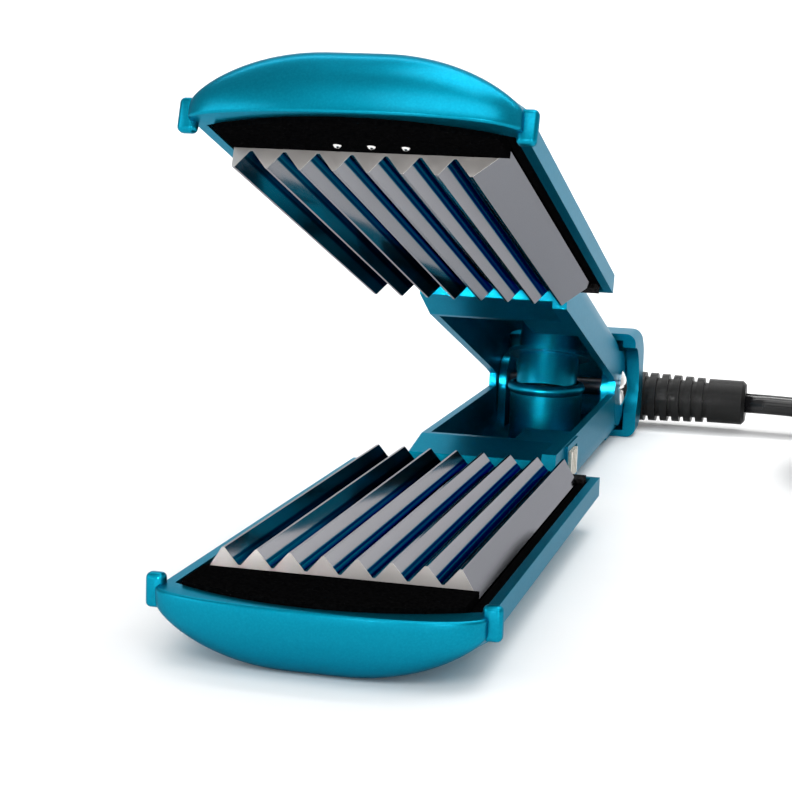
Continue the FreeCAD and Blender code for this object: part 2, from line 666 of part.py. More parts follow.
def carrier(name):
    """Black tray that holds the plate: seat, heater window and a ledge in front with a curved nose."""
    piece = Piece(name)
    half = carrier_half()
    gap = size("seat_gap")
    rear = size("plate_rear") - size("carrier_rear")
    body_edges = rectangle(-half, -CAP_JOINT, half, -rear)
    base = "-(driving.ridge_rise - driving.mesh_depth + driving.plate_thickness + driving.carrier_floor)"
    height = f"-driving.ledge_level - ({base})"
    piece.pad("XY_Plane", base, body_edges, height)
    piece.pad("XY_Plane", base, front_arc(half, CAP_JOINT, size("carrier_bulge")), height)
    piece.pad("XY_Plane", "-driving.ledge_level", sill_outline(), "driving.ledge_level - driving.sill_level")
    seat = rectangle(
        -size("plate_width") / 2 - gap,
        -PLATE_FRONT - gap,
        size("plate_width") / 2 + gap,
        -size("plate_rear") + gap,
    )
    piece.pocket("XY_Plane", "0", seat, f"-({base}) - driving.carrier_floor")
    window = rectangle(
        -size("heater_width") / 2 - gap,
        -PLATE_MIDDLE - size("heater_length") / 2 - gap,
        size("heater_width") / 2 + gap,
        -PLATE_MIDDLE + size("heater_length") / 2 + gap,
    )
    for spot in clamp_screw_spots():
        window += circle(spot.x, spot.y, size("screw_diameter") / 2 + size("screw_room"))
    piece.pocket("XY_Plane", "0", window, f"-({base}) + 1")
    tapped = []
    for spot in carrier_screw_spots():
        tapped += circle(spot.x, spot.y, size("screw_diameter") / 2)
    depth = "driving.screw_length + driving.screw_spare - driving.rail_thickness"
    piece.pocket("XY_Plane", str(-CARRIER_BASE), tapped, depth, back=True)
    return piece


def add_rivet_holes(piece):
    """Blind holes in the ledge for the rivets in front of the plate."""
    holes = []
    for spot in rivet_spots():
        holes += circle(spot.x, spot.y, size("rivet_diameter") / 4)
    piece.pocket("XY_Plane", "-driving.sill_level", holes, "driving.rivet_shank")


def rivet_spots():
    """Rivets on the upper carrier's sill, spaced round a point beside its middle."""
    reach = PLATE_FRONT + size("rivet_inset")
    places = [index * size("rivet_pitch") - size("rivet_shift") for index in (-1, 0, 1)]
    return [Vector(place, -reach, -size("sill_level")) for place in places]


def block(name, corner, width, length, height):
    """Part box from a corner in the arm frame; its three sizes are sheet expressions."""
    box = DOC.addObject("Part::Box", name)
    box.Label = name
    bind(box, Length=width, Width=length, Height=height)
    box.Placement = Placement(corner, Rotation())
    return box


def heater(name):
    """Ceramic heater in the carrier's window, against the plate's base."""
    corner = Vector(-size("heater_width") / 2, -PLATE_MIDDLE - size("heater_length") / 2, -CARRIER_BASE)
    return block(name, corner, "driving.heater_width", "driving.heater_length", "driving.carrier_floor")


def heater_clamp(name):
    """Spring plate under the heater, screwed to the ridged plate at both ends."""
    piece = Piece(name)
    along = size("heater_length") / 2 + size("clamp_overhang")
    side = size("clamp_width") / 2
    outline = rectangle(-side, -PLATE_MIDDLE - along, side, -PLATE_MIDDLE + along)
    for spot in clamp_screw_spots():
        outline += circle(spot.x, spot.y, size("screw_diameter") / 2 + size("screw_room"))
    piece.pad("XY_Plane", str(-CARRIER_BASE), outline, "driving.clamp_thickness", back=True)
    return piece


def thermal_fuse(name):
    """Flat thermal fuse on the clamp."""
    corner = Vector(
        -size("fuse_width") / 2,
        -PLATE_MIDDLE - size("fuse_length") / 2,
        -CARRIER_BASE - size("clamp_thickness") - size("fuse_height"),
    )
    return block(name, corner, "driving.fuse_width", "driving.fuse_length", "driving.fuse_height")


def heat_seal(name):
    """Soft strip in the slot behind the carrier, lapping over its rear edge."""
    piece = Piece(name)
    wall = -size("head_rear") - WALL
    lip = -size("plate_rear") + size("carrier_rear")
    end = -size("plate_rear") + size("seat_gap")
    ledge = -size("ledge_level")
    top = -size("seal_level")
    outline = polygon([
        (wall, -CARRIER_BASE),
        (lip, -CARRIER_BASE),
        (lip, ledge),
        (end, ledge),
        (end, top - size("seal_fall")),
        (lip, top),
        (wall, top - size("seal_fall") / 2),
    ])
    width = "driving.head_width - 2 * driving.shell_wall - 2 * driving.seal_room"
    piece.pad("YZ_Plane", "0", outline, width, both=True)
    return piece


def plate_rivets(name):
    """Three small domed rivets in the ledge in front of the upper plate."""
    parts = []
    for index, spot in enumerate(rivet_spots()):
        rivet = Piece(f"{name}_{index + 1}")
        head = size("rivet_diameter") / 2
        rise = size("rivet_rise")
        shank = head / 2
        drop = size("rivet_shank")
        middle = dome_middle(head, rise)
        profile = [
            Part.LineSegment(Vector(0, -drop, 0), Vector(shank, -drop, 0)),
            Part.LineSegment(Vector(shank, -drop, 0), Vector(shank, 0, 0)),
            Part.LineSegment(Vector(shank, 0, 0), Vector(head, 0, 0)),
            Part.Arc(Vector(head, 0, 0), Vector(middle.y, middle.x, 0), Vector(0, rise, 0)),
            Part.LineSegment(Vector(0, rise, 0), Vector(0, -drop, 0)),
        ]
        rivet.turn("XZ_Plane", profile, "V_Axis")
        rivet.body.Placement = Placement(spot, Rotation())
        parts.append(rivet.body)
    return group(name, parts)


def group(name, members):
    """Pieces of one kind that share a node."""
    joined = DOC.addObject("Part::Compound", name)
    joined.Label = name
    joined.Links = members
    return joined


def rear_cover(name):
    """Rounded cover behind the hinge, hollow, with a tongue into the handle and a swivel socket."""
    piece = Piece(name)
    deep = size("arm_depth")
    back = size("cover_rear")
    radius = size("cover_radius")
    bend = math.cos(math.pi / 4) * radius
    clear = size("lug_radius") + 1
    joint = size("inner_lug_radius") + size("cover_gap")
    foot = -math.sqrt(clear ** 2 - joint ** 2)
    arc_middle = Vector(clear * math.cos(0.3), clear * math.sin(0.3), 0)
    points = [
        Vector(0, deep, 0),
        Vector(back - radius, deep, 0),
        Vector(back, deep - radius, 0),
        Vector(back, -deep + radius, 0),
        Vector(back - radius, -deep, 0),
        Vector(joint, -deep, 0),
        Vector(joint, foot, 0),
        Vector(0, clear, 0),
    ]
    corner = back - radius + bend
    outline = [
        Part.LineSegment(points[0], points[1]),
        Part.Arc(points[1], Vector(corner, deep - radius + bend, 0), points[2]),
        Part.LineSegment(points[2], points[3]),
        Part.Arc(points[3], Vector(corner, -deep + radius - bend, 0), points[4]),
        Part.LineSegment(points[4], points[5]),
        Part.LineSegment(points[5], points[6]),
        Part.Arc(points[6], arc_middle, points[7]),
        Part.LineSegment(points[7], points[0]),
    ]
    solid = piece.pad("YZ_Plane", "0", outline, "driving.cover_width", both=True)
    DOC.recompute()
    half = size("cover_width") / 2
    rounded = []
    for number, edge in enumerate(solid.Shape.Edges, start=1):
        box = edge.BoundBox
        on_side = abs(abs(box.XMin) - half) < 0.01 and box.XLength < 0.01
        if on_side and box.YMax > clear + 0.5 and box.YMin > joint - 0.5:
            rounded.append(f"Edge{number}")
    fillet = piece.body.newObject("PartDesign::Fillet", name + "_rounding")
    fillet.Base = (solid, rounded)
    bind(fillet, Radius="driving.cover_rounding")
    bend = (radius - WALL) * (1 - math.sqrt(0.5))
    corner = back - radius
    points = [
        Vector(-1, -FLOOR, 0),
        Vector(corner, -FLOOR, 0),
        Vector(back - WALL, radius - deep, 0),
        Vector(back - WALL, deep - radius, 0),
        Vector(corner, FLOOR, 0),
        Vector(-1, FLOOR, 0),
    ]
    inner = [
        Part.LineSegment(points[0], points[1]),
        Part.Arc(points[1], Vector(back - WALL - bend, -FLOOR + bend, 0), points[2]),
        Part.LineSegment(points[2], points[3]),
        Part.Arc(points[3], Vector(back - WALL - bend, FLOOR - bend, 0), points[4]),
        Part.LineSegment(points[4], points[5]),
        Part.LineSegment(points[5], points[0]),
    ]
    piece.pocket("YZ_Plane", "0", inner, "driving.handle_width + 2 * driving.side_gap", both=True)
    tongue = rectangle(-size("tongue_width") / 2, -FLOOR, size("tongue_width") / 2, -FLOOR + WALL)
    piece.pad("XZ_Plane", "-(driving.cover_rear - driving.shell_wall / 2)", tongue,
              "driving.cover_rear - driving.shell_wall / 2 + driving.inner_lug_radius")
    socket = circle(size("ball_offset"), -size("ball_level"), size("socket_diameter") / 2)
    piece.pad("XZ_Plane", "-(driving.cover_rear + driving.socket_depth)", socket,
              "driving.socket_depth + driving.shell_wall / 2")
    return piece


def ball_centre():
    """Centre of the swivel ball in the arm frame of the lower arm."""
    return Vector(size("ball_offset"), size("cover_rear") + size("ball_back"), -size("ball_level"))


def relief_outline():
    """Half section of ball, neck and ribbed tapering sleeve along plus X, for one turn about X."""
    ball = size("ball_diameter") / 2
    neck = size("relief_neck") / 2
    start = size("relief_start")
    length = size("relief_length")
    pitch = size("relief_rib_pitch")
    root = size("relief_diameter") / 2
    end = size("relief_end_diameter") / 2
    neck_at = math.sqrt(ball ** 2 - neck ** 2)
    ribs = int((length - size("relief_collar") - start) / pitch)
    points = [(neck_at, neck), (start, neck)]
    for index in range(ribs):
        low = start + index * pitch
        outer = root + (end - root) * index / ribs
        points += [(low, outer), (low + 0.6 * pitch, outer)]
        inner = outer - size("relief_groove")
        points += [(low + 0.6 * pitch, inner), (low + pitch, inner)]
    points += [(start + ribs * pitch, end), (length - 1, end), (length, end - 1), (length, 0)]
    corners = [Vector(x, y, 0) for x, y in points]
    edges = [Part.LineSegment(a, b) for a, b in zip(corners, corners[1:])]
    edges.append(Part.LineSegment(corners[-1], Vector(-ball, 0, 0)))
    edges.append(Part.Arc(Vector(-ball, 0, 0), Vector(0, ball, 0), corners[0]))
    return edges


def strain_relief(name):
    piece = Piece(name)
    piece.turn("XZ_Plane", relief_outline(), "H_Axis")
    return piece


def add_ball_seat(piece):
    """Spherical seat for the swivel ball and the slot that its neck leaves by."""
    centre = ball_centre()
    seat = piece.body.newObject("PartDesign::SubtractiveSphere", "rear_cover_ball_seat")
    planes = piece.body.Origin.OriginFeatures
    ground = [feature for feature in planes if feature.Role == "XY_Plane"][0]
    seat.AttachmentSupport = [(ground, "")]
    seat.MapMode = "FlatFace"
    seat.AttachmentOffset = Placement(centre, Rotation())
    bind(seat, Radius="driving.ball_diameter / 2 + driving.side_gap")
    slot = circle(centre.y, centre.z, size("relief_neck") / 2 + size("side_gap"))
    piece.pocket("YZ_Plane", "driving.ball_offset", slot, "driving.socket_diameter", back=True)


def dome_middle(rim, rise):
    """Middle of the arc of a spherical dome: X along its axis from the rim, Y out from the axis."""
    radius = (rim ** 2 + rise ** 2) / (2 * rise)
    centre = rise - radius
    half = math.atan2(rim, -centre) / 2
    return Vector(centre + radius * math.cos(half), radius * math.sin(half), 0)


def hinge_pin(name):
    piece = Piece(name)
    shank = circle(0, 0, size("pin_diameter") / 2)
    piece.pad("YZ_Plane", "0", shank, "driving.handle_width + 2 * driving.pin_stub", both=True)
    return piece


def pin_cap(name):
    """Domed cap pressed on the pin's right end, just clear of the upper lug."""
    piece = Piece(name)
    inner = size("handle_width") / 2 + size("cap_gap")
    rise = size("pin_head_rise")
    rim = size("pin_head_diameter") / 2
    bore = size("pin_diameter") / 2
    stub = size("handle_width") / 2 + size("pin_stub")
    edge = 0.6
    middle = dome_middle(rim, rise - edge)
    profile = [
        Part.LineSegment(Vector(inner, bore, 0), Vector(inner, rim, 0)),
        Part.LineSegment(Vector(inner, rim, 0), Vector(inner + edge, rim, 0)),
        Part.Arc(Vector(inner + edge, rim, 0), Vector(middle.x + inner + edge, middle.y, 0),
                 Vector(inner + rise, 0, 0)),
        Part.LineSegment(Vector(inner + rise, 0, 0), Vector(stub, 0, 0)),
        Part.LineSegment(Vector(stub, 0, 0), Vector(stub, bore, 0)),
        Part.LineSegment(Vector(stub, bore, 0), Vector(inner, bore, 0)),
    ]
    piece.turn("XZ_Plane", profile, "H_Axis")
    return piece


def coil_spring(name):
    """Compression spring standing on the cup's floor, swept along a helix."""
    wire = size("spring_wire")
    floor = -FLOOR
    slant = math.radians(size("opening_angle"))
    reach = size("post_reach") - size("spring_diameter") / 2 - wire / 2
    seat = reach * math.tan(slant) + size("spring_seat") / math.cos(slant)
    helix = DOC.addObject("Part::Helix", name + "_path")
    bind(helix, Radius="driving.spring_diameter / 2")
    rise = seat - floor - wire - size("spring_slack")
    helix.Height = rise
    helix.Pitch = rise / size("spring_turns")
    section = DOC.addObject("Part::Circle", name + "_wire")
    bind(section, Radius="driving.spring_wire / 2")
    section.Placement = Placement(
        Vector(size("spring_diameter") / 2, 0, 0), Rotation(Vector(1, 0, 0), 90)
    )
    sweep = DOC.addObject("Part::Sweep", name)
    sweep.Label = name
    sweep.Sections = [section]
    sweep.Spine = (helix, ["Edge1"])
    sweep.Solid = True
    sweep.Frenet = True
    sweep.Placement = Placement(Vector(0, -size("post_reach"), floor + wire / 2), Rotation())
    return sweep


def knob_reach():
    """Reach of the knob's middle at rest, at the front end of its travel."""
    return size("switch_reach") + size("switch_travel") / 2


def switch_knob(name):
    """Ribbed slide knob in the window, with a flange and a stem behind the wall."""
    piece = Piece(name)
    middle = -knob_reach()
    level = -size("window_level")
    half = size("knob_length") / 2
    high = size("knob_height") / 2
    body_edges = rectangle(middle - half, level - high, middle + half, level + high)
    face = "driving.handle_width / 2 + driving.knob_proud"
    piece.pad("YZ_Plane", f"{face} - driving.knob_depth", body_edges, "driving.knob_depth")
    pitch = size("knob_length") / size("knob_ribs")
    grooves = []
    for index in range(1, int(size("knob_ribs"))):
        groove = middle - half + index * pitch
        grooves += rectangle(groove - pitch / 4, level - high - 1, groove + pitch / 4, level + high + 1)
    piece.pocket("YZ_Plane", face, grooves, "driving.knob_groove")
    wing = size("knob_flange_length") / 2
    flange = rectangle(middle - wing, -size("knob_flange_level"), middle + wing, level + size("stem_height"))
    inner = f"{face} - driving.knob_depth - driving.knob_flange"
    piece.pad("YZ_Plane", inner, flange, "driving.knob_flange")
    tall = size("stem_height") / 2
    wide = size("stem_length") / 2
    stem = rectangle(middle - wide, level - tall, middle + wide, level + tall)
    piece.pad("YZ_Plane", f"{inner} - driving.stem_reach", stem, "driving.stem_reach")
    return piece


def add_switch_bay(piece):
    """Room behind the window for the switch body and the knob's flange."""
    half = size("bay_length") / 2
    reach = -size("switch_reach")
    outline = rectangle(reach - half, -size("bay_floor"), reach + half, -size("bay_roof"))
    depth = "driving.handle_width / 2 - driving.knob_room - driving.bay_inner"
    piece.pocket("YZ_Plane", "driving.bay_inner", outline, depth, back=True)


def switch_body(name):
    """Slide switch body under the bay's roof, slotted for the knob's stem."""
    piece = Piece(name)
    reach = -size("switch_reach")
    half = size("switch_length") / 2
    roof = -size("bay_roof")
    outline = rectangle(reach - half, roof - size("switch_height"), reach + half, roof)
    piece.pad("YZ_Plane", "driving.switch_inner", outline, "driving.switch_outer - driving.switch_inner")
    gap = size("side_gap")
    wide = size("stem_length") / 2 + size("switch_travel") / 2 + gap
    tall = size("stem_height") / 2 + gap
    level = -size("window_level")
    slot = rectangle(reach - wide, level - tall, reach + wide, level + tall)
    piece.pocket("YZ_Plane", "driving.switch_outer", slot, "driving.stem_reach + driving.side_gap")
    return piece


def power_board(name):
    """Circuit board on the handle's floor with a capacitor and a switching device."""
    floor = -FLOOR
    left = -size("board_width") / 2 - size("board_shift")
    corner = Vector(left, -size("board_reach") - size("board_length") / 2, floor)
    sides = ("driving.board_width", "driving.board_length", "driving.board_thickness")
    sheet = block(name + "_sheet", corner, *sides)
    chip = DOC.addObject("Part::Box", name + "_chip")
    bind(chip, Length="driving.chip_width", Width="driving.chip_length", Height="driving.chip_height")
    inset = size("chip_inset")
    chip.Placement = Placement(corner + Vector(inset, inset, size("board_thickness")), Rotation())
    can = DOC.addObject("Part::Cylinder", name + "_capacitor")
    bind(can, Radius="driving.capacitor_diameter / 2", Height="driving.capacitor_height")
    far = Vector(size("board_width"), size("board_length"), size("board_thickness"))
    inset = size("capacitor_inset")
    can.Placement = Placement(corner + far - Vector(inset, inset, 0), Rotation())
    board = DOC.addObject("Part::MultiFuse", name)
    board.Label = name
    board.Shapes = [sheet, chip, can]
    return board


def screw(name, seat, way):
    """Screw with its head's underside on a seat and its shank along a direction."""
    turned = Rotation(Vector(0, 0, 1), way)
    shank = DOC.addObject("Part::Cylinder", name + "_shank")
    bind(shank, Radius="driving.screw_diameter / 2", Height="driving.screw_length")
    shank.Placement = Placement(seat, turned)
    pan = DOC.addObject("Part::Cylinder", name + "_head")
    bind(pan, Radius="driving.screw_head / 2", Height="driving.screw_pan")
    pan.Placement = Placement(seat - way * size("screw_pan"), turned)
    whole = DOC.addObject("Part::MultiFuse", name)
    whole.Shapes = [shank, pan]
    return whole


def screws(name, seats):
    """Identical screws that all point up into the arm, in one node."""
    up = Vector(0, 0, 1)
    return group(name, [screw(f"{name}_{index}", seat, up) for index, seat in enumerate(seats, start=1)])


def add_cover_screw_holes(shell, cover):
    """Counterbores under the lower handle and holes into the rear cover's tongue."""
    radius = size("screw_diameter") / 2
    recess = []
    through = []
    tapped = []
    for spot in cover_screw_spots():
        recess += circle(spot.x, spot.y, size("screw_head") / 2 + size("screw_room"))
        through += circle(spot.x, spot.y, radius + size("screw_room"))
        tapped += circle(spot.x, spot.y, radius)
    shell.pocket("XY_Plane", "-driving.cover_screw_seat", recess, "driving.arm_depth")
    shell.pocket("XY_Plane", "-driving.arm_depth + driving.shell_wall", through, "driving.shell_wall")
    cover.pocket("XY_Plane", "-driving.arm_depth + 2 * driving.shell_wall", tapped, "driving.shell_wall")


# Routes of the cord: X, Y behind the hinge axis and Z above the table
TUBE_ROUTE = [
    (53.0, 32.5, 9.0),
    (74.0, 32.5, 9.0),
    (94.0, 32.7, 5.6),
    (113.0, 33.4, 3.7),
    (132.6, 34.5, 3.4),
]
TAIL_ROUTE = [
    (136.0, 34.6, 19.0),
    (163.3, 29.3, 19.0),
    (184.2, 14.1, 19.0),
    (197.2, -8.3, 19.0),
    (199.9, -34.0, 19.0),
    (198.4, -57.0, 18.6),
    (195.0, -78.0, 13.0),
    (192.6, -98.0, 8.6),
    (191.5, -112.5, 8.0),
]


def cord_section(start, way):
    """Flat oval cord section at the start of a route, lying flat."""
    low = size("cord_thickness") / 2
    flat = size("cord_width") / 2 - low
    across = Vector(way.y, -way.x, 0).normalize()
    up = across.cross(way).normalize()

    def spot(x, z):
        return start + across * x + up * z

    return Part.Wire([
        Part.makeLine(spot(-flat, -low), spot(flat, -low)),
        Part.Arc(spot(flat, -low), spot(flat + low, 0), spot(flat, low)).toShape(),
        Part.makeLine(spot(flat, low), spot(-flat, low)),
        Part.Arc(spot(-flat, low), spot(-flat - low, 0), spot(-flat, -low)).toShape(),
    ])


def rounded_route(name, route):
    """Straight runs joined by tangent arcs, each as large as its two runs allow."""
    points = [Vector(*point) for point in route]
    edges = []
    start = points[0]
    for before, corner, after in zip(points, points[1:], points[2:]):
        way_in = (corner - before).normalize()
        way_out = (after - corner).normalize()
        half = way_in.getAngle(way_out) / 2
        reach = 0.45 * min((corner - before).Length, (after - corner).Length)
        radius = reach / math.tan(half)
        print(f"{name} radius {radius:.1f}")
        first = corner - way_in * reach
        last = corner + way_out * reach
        middle = corner + (way_out - way_in).normalize() * radius * (1 / math.cos(half) - 1)
        edges.append(Part.makeLine(start, first))
        edges.append(Part.Arc(first, middle, last).toShape())
        start = last
    edges.append(Part.makeLine(start, points[-1]))
    return Part.Wire(edges)


def cord_run(name, route):
    """Flat cord swept along a route, its broad side kept level."""
    path = rounded_route(name, route)
    way = Vector(*route[1]) - Vector(*route[0])
    maker = Part.BRepOffsetAPI.MakePipeShell(path)
    maker.setBiNormalMode(Vector(0, 0, 1))
    maker.add(cord_section(Vector(*route[0]), way.normalize()))
    maker.build()
    maker.makeSolid()
    low = size("cord_thickness") / 2
    area = math.pi * low ** 2 + (size("cord_width") - 2 * low) * 2 * low
    run = DOC.addObject("Part::Feature", name)
    run.Label = name
    run.Shape = maker.shape()
    share = abs(run.Shape.Volume) / (area * path.Length)
    print(f"{name} length {path.Length:.1f} volume share {share:.3f}")
    return run


def coil_outline():
    """Section of the coil: two columns of turns, the outer one a turn lower."""
    radius = size("coil_radius")
    inner = radius - size("cord_width")
    outer = radius + size("cord_width")
    base = size("tie_thickness")
    top = base + size("coil_layers") * size("cord_thickness")
    step = top - size("cord_thickness")
    return [(inner, base), (outer, base), (outer, step), (radius, step), (radius, top), (inner, top)]


def cord_coil(name):
    piece = Piece(name)
    piece.turn("XZ_Plane", polygon(coil_outline()), "V_Axis")
    return piece


def coil_tie(name):
    """Strap round the coil's section, turned with the coil through its own width."""
    piece = Piece(name)
    strap = size("tie_thickness")
    inner_low, outer_low, outer_step, _, radius_top, inner_top = coil_outline()
    inside = [inner_low, outer_low, outer_step, radius_top, inner_top]
    outside = [
        (inner_low[0] - strap, 0),
        (outer_low[0] + strap, 0),
        (outer_step[0] + strap, outer_step[1] + strap / 2),
        (radius_top[0] + strap / 2, radius_top[1] + strap),
        (inner_top[0] - strap, inner_top[1] + strap),
    ]
    feature = piece.turn("XZ_Plane", polygon(outside) + polygon(inside), "V_Axis")
    bind(feature, Angle="driving.tie_angle")
    return piece


def rounded_rectangle(half_width, half_height, radius):
    """Rectangle about the origin with rounded corners."""
    edges = []
    corners = [(1, 1), (-1, 1), (-1, -1), (1, -1)]
    flat_x = half_width - radius
    flat_y = half_height - radius
    slant = radius * math.sqrt(0.5)
    ends = []
    for x, y in corners:
        centre = Vector(x * flat_x, y * flat_y, 0)
        side = centre + Vector(x * radius, 0, 0)
        crown = centre + Vector(0, y * radius, 0)
        pair = (side, crown) if x * y > 0 else (crown, side)
        edges.append(Part.Arc(pair[0], centre + Vector(x * slant, y * slant, 0), pair[1]))
        ends.append(pair)
    for index, (_, last) in enumerate(ends):
        following = ends[(index + 1) % len(ends)][0]
        edges.append(Part.LineSegment(last, following))
    return edges


def plug_body(name):
    """Moulded two-blade plug, lofted from the cord's end to its face."""
    piece = Piece(name)
    wide = size("plug_width") / 2
    tall = size("plug_height") / 2
    sections = [
        ("0", rounded_rectangle(0.54 * wide, 0.54 * tall, 2.5)),
        ("0.35 * driving.plug_length", rounded_rectangle(0.78 * wide, 0.8 * tall, 3.0)),
        ("0.55 * driving.plug_length", rounded_rectangle(wide, tall, 3.5)),
        ("driving.plug_length", rounded_rectangle(wide, tall, 3.5)),
    ]
    piece.loft("XZ_Plane", sections).Ruled = True
    return piece


def plug_blades(name):
    """Two flat blades standing out of the plug's face."""
    blades = []
    for at in (-1, 1):
        corner = Vector(
            at * size("blade_pitch") / 2 - size("blade_thickness") / 2,
            -size("plug_length") - size("blade_length"),
            -size("blade_width") / 2,
        )
        side = "left" if at < 0 else "right"
        sides = ("driving.blade_thickness", "driving.blade_length", "driving.blade_width")
        blades.append(block(f"{name}_{side}", corner, *sides))
    return group(name, blades)


def seat(obj, frame):
    """Put a piece drawn in a frame of its own into the whole object's frame."""
    obj.Placement = frame.multiply(obj.Placement)
    return obj


HINGE_Y = (NOSE_TIP - size("cover_rear") - size("socket_depth")) / 2
TABLE_FRAME = Placement(Vector(0, HINGE_Y, 0), Rotation())
LOWER_FRAME = Placement(Vector(0, HINGE_Y, size("arm_depth")), Rotation())
OPENED = Rotation(Vector(1, 0, 0), -size("opening_angle"))
TURNED_OVER = Rotation(Vector(0, 1, 0), 180)
UPPER_FRAME = Placement(Vector(0, HINGE_Y, size("arm_depth")), OPENED.multiply(TURNED_OVER))
NODES = {}


def keep(name, obj, frame):
    NODES[name] = seat(obj, frame)


# Lower arm
lower_shell = arm_shell("lower_shell", 1)
add_rails(lower_shell)
add_lower_hinge(lower_shell)
add_spring_cup(lower_shell)
add_switch_bay(lower_shell)
add_switch_window(lower_shell)
cover = rear_cover("rear_cover")
add_ball_seat(cover)
add_cover_screw_holes(lower_shell, cover)
lower_cap = end_cap("lower_end_cap")
add_cap_details(lower_cap)
keep("lower_shell", lower_shell.body, LOWER_FRAME)
keep("lower_end_cap", lower_cap.body, LOWER_FRAME)
keep("lower_carrier", carrier("lower_carrier").body, LOWER_FRAME)
keep("lower_plate", crimp_plate("lower_plate", 0.0).body, LOWER_FRAME)
keep("lower_heater", heater("lower_heater"), LOWER_FRAME)
keep("lower_heater_clamp", heater_clamp("lower_heater_clamp").body, LOWER_FRAME)
keep("lower_thermal_fuse", thermal_fuse("lower_thermal_fuse"), LOWER_FRAME)
keep("lower_heat_seal", heat_seal("lower_heat_seal").body, LOWER_FRAME)
lower_seats = carrier_screw_spots() + clamp_screw_spots() + cover_screw_spots()
keep("lower_screws", screws("lower_screws", lower_seats), LOWER_FRAME)
keep("rear_cover", cover.body, LOWER_FRAME)

# Hinge, spring, switch and swivel
keep("hinge_pin", hinge_pin("hinge_pin").body, LOWER_FRAME)
caps = [pin_cap("pin_cap_right"), pin_cap("pin_cap_left")]
caps[1].body.Placement = Placement(Vector(), Rotation(Vector(0, 0, 1), 180))
keep("pin_caps", group("pin_caps", [cap.body for cap in caps]), LOWER_FRAME)
keep("opening_spring", coil_spring("opening_spring"), LOWER_FRAME)
keep("switch_body", switch_body("switch_body").body, LOWER_FRAME)
keep("power_board", power_board("power_board"), LOWER_FRAME)
keep("switch_knob", switch_knob("switch_knob").body, LOWER_FRAME)
relief = strain_relief("strain_relief")
relief.body.Placement = Placement(ball_centre(), Rotation())
keep("strain_relief", relief.body, LOWER_FRAME)

# Upper arm
upper_shell = arm_shell("upper_shell", -1)
add_rails(upper_shell)
add_upper_hinge(upper_shell)
add_spring_sleeve(upper_shell)
upper_cap = end_cap("upper_end_cap")
add_cap_details(upper_cap)
upper_carrier = carrier("upper_carrier")
add_rivet_holes(upper_carrier)
keep("upper_shell", upper_shell.body, UPPER_FRAME)
keep("upper_end_cap", upper_cap.body, UPPER_FRAME)
keep("upper_carrier", upper_carrier.body, UPPER_FRAME)
keep("upper_plate", crimp_plate("upper_plate", size("ridge_pitch") / 2).body, UPPER_FRAME)
keep("upper_plate_rivets", plate_rivets("upper_plate_rivets"), UPPER_FRAME)
keep("upper_heater", heater("upper_heater"), UPPER_FRAME)
keep("upper_heater_clamp", heater_clamp("upper_heater_clamp").body, UPPER_FRAME)
keep("upper_thermal_fuse", thermal_fuse("upper_thermal_fuse"), UPPER_FRAME)
keep("upper_heat_seal", heat_seal("upper_heat_seal").body, UPPER_FRAME)
keep("upper_screws", screws("upper_screws", carrier_screw_spots() + clamp_screw_spots()), UPPER_FRAME)

# Cord, put away beside the crimper, and its plug
keep("cord_tube", cord_run("cord_tube", TUBE_ROUTE), TABLE_FRAME)
COIL_FRAME = TABLE_FRAME.multiply(Placement(Vector(size("coil_across"), size("coil_along"), 0), Rotation()))
keep("cord_coil", cord_coil("cord_coil").body, COIL_FRAME)
tie = coil_tie("coil_tie")
tie.body.Placement = Placement(Vector(), Rotation(Vector(0, 0, 1), size("tie_turn")))
keep("coil_tie", tie.body, COIL_FRAME)
keep("cord_tail", cord_run("cord_tail", TAIL_ROUTE), TABLE_FRAME)
plug_spot = Vector(size("plug_across"), size("plug_along"), size("plug_height") / 2)
PLUG_FRAME = TABLE_FRAME.multiply(Placement(plug_spot, Rotation()))
keep("plug_body", plug_body("plug_body").body, PLUG_FRAME)
keep("plug_blades", plug_blades("plug_blades"), PLUG_FRAME)

DOC.recompute()
for made in DOC.Objects:
    if "Invalid" in made.State or "Error" in made.State:
        raise RuntimeError(f"{made.Label} failed: {made.State}")
os.makedirs("parts", exist_ok=True)
for name, node in NODES.items():
    shape = node.Shape
    if shape.isNull() or not shape.isValid():
        raise RuntimeError(f"{name} has no valid shape")
    shape.exportStep(f"parts/{name}.step")
    box = shape.BoundBox
    low = f"{box.XMin:.1f} {box.YMin:.1f} {box.ZMin:.1f}"
    high = f"{box.XMax:.1f} {box.YMax:.1f} {box.ZMax:.1f}"
    print(f"{name} {len(shape.Solids)} solids, {shape.Volume:.0f} mm3, {low} to {high}")
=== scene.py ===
"""Looks of the hair crimper: finishes, the put-away cord, fine fittings, floor, lights and camera."""
import json
import math

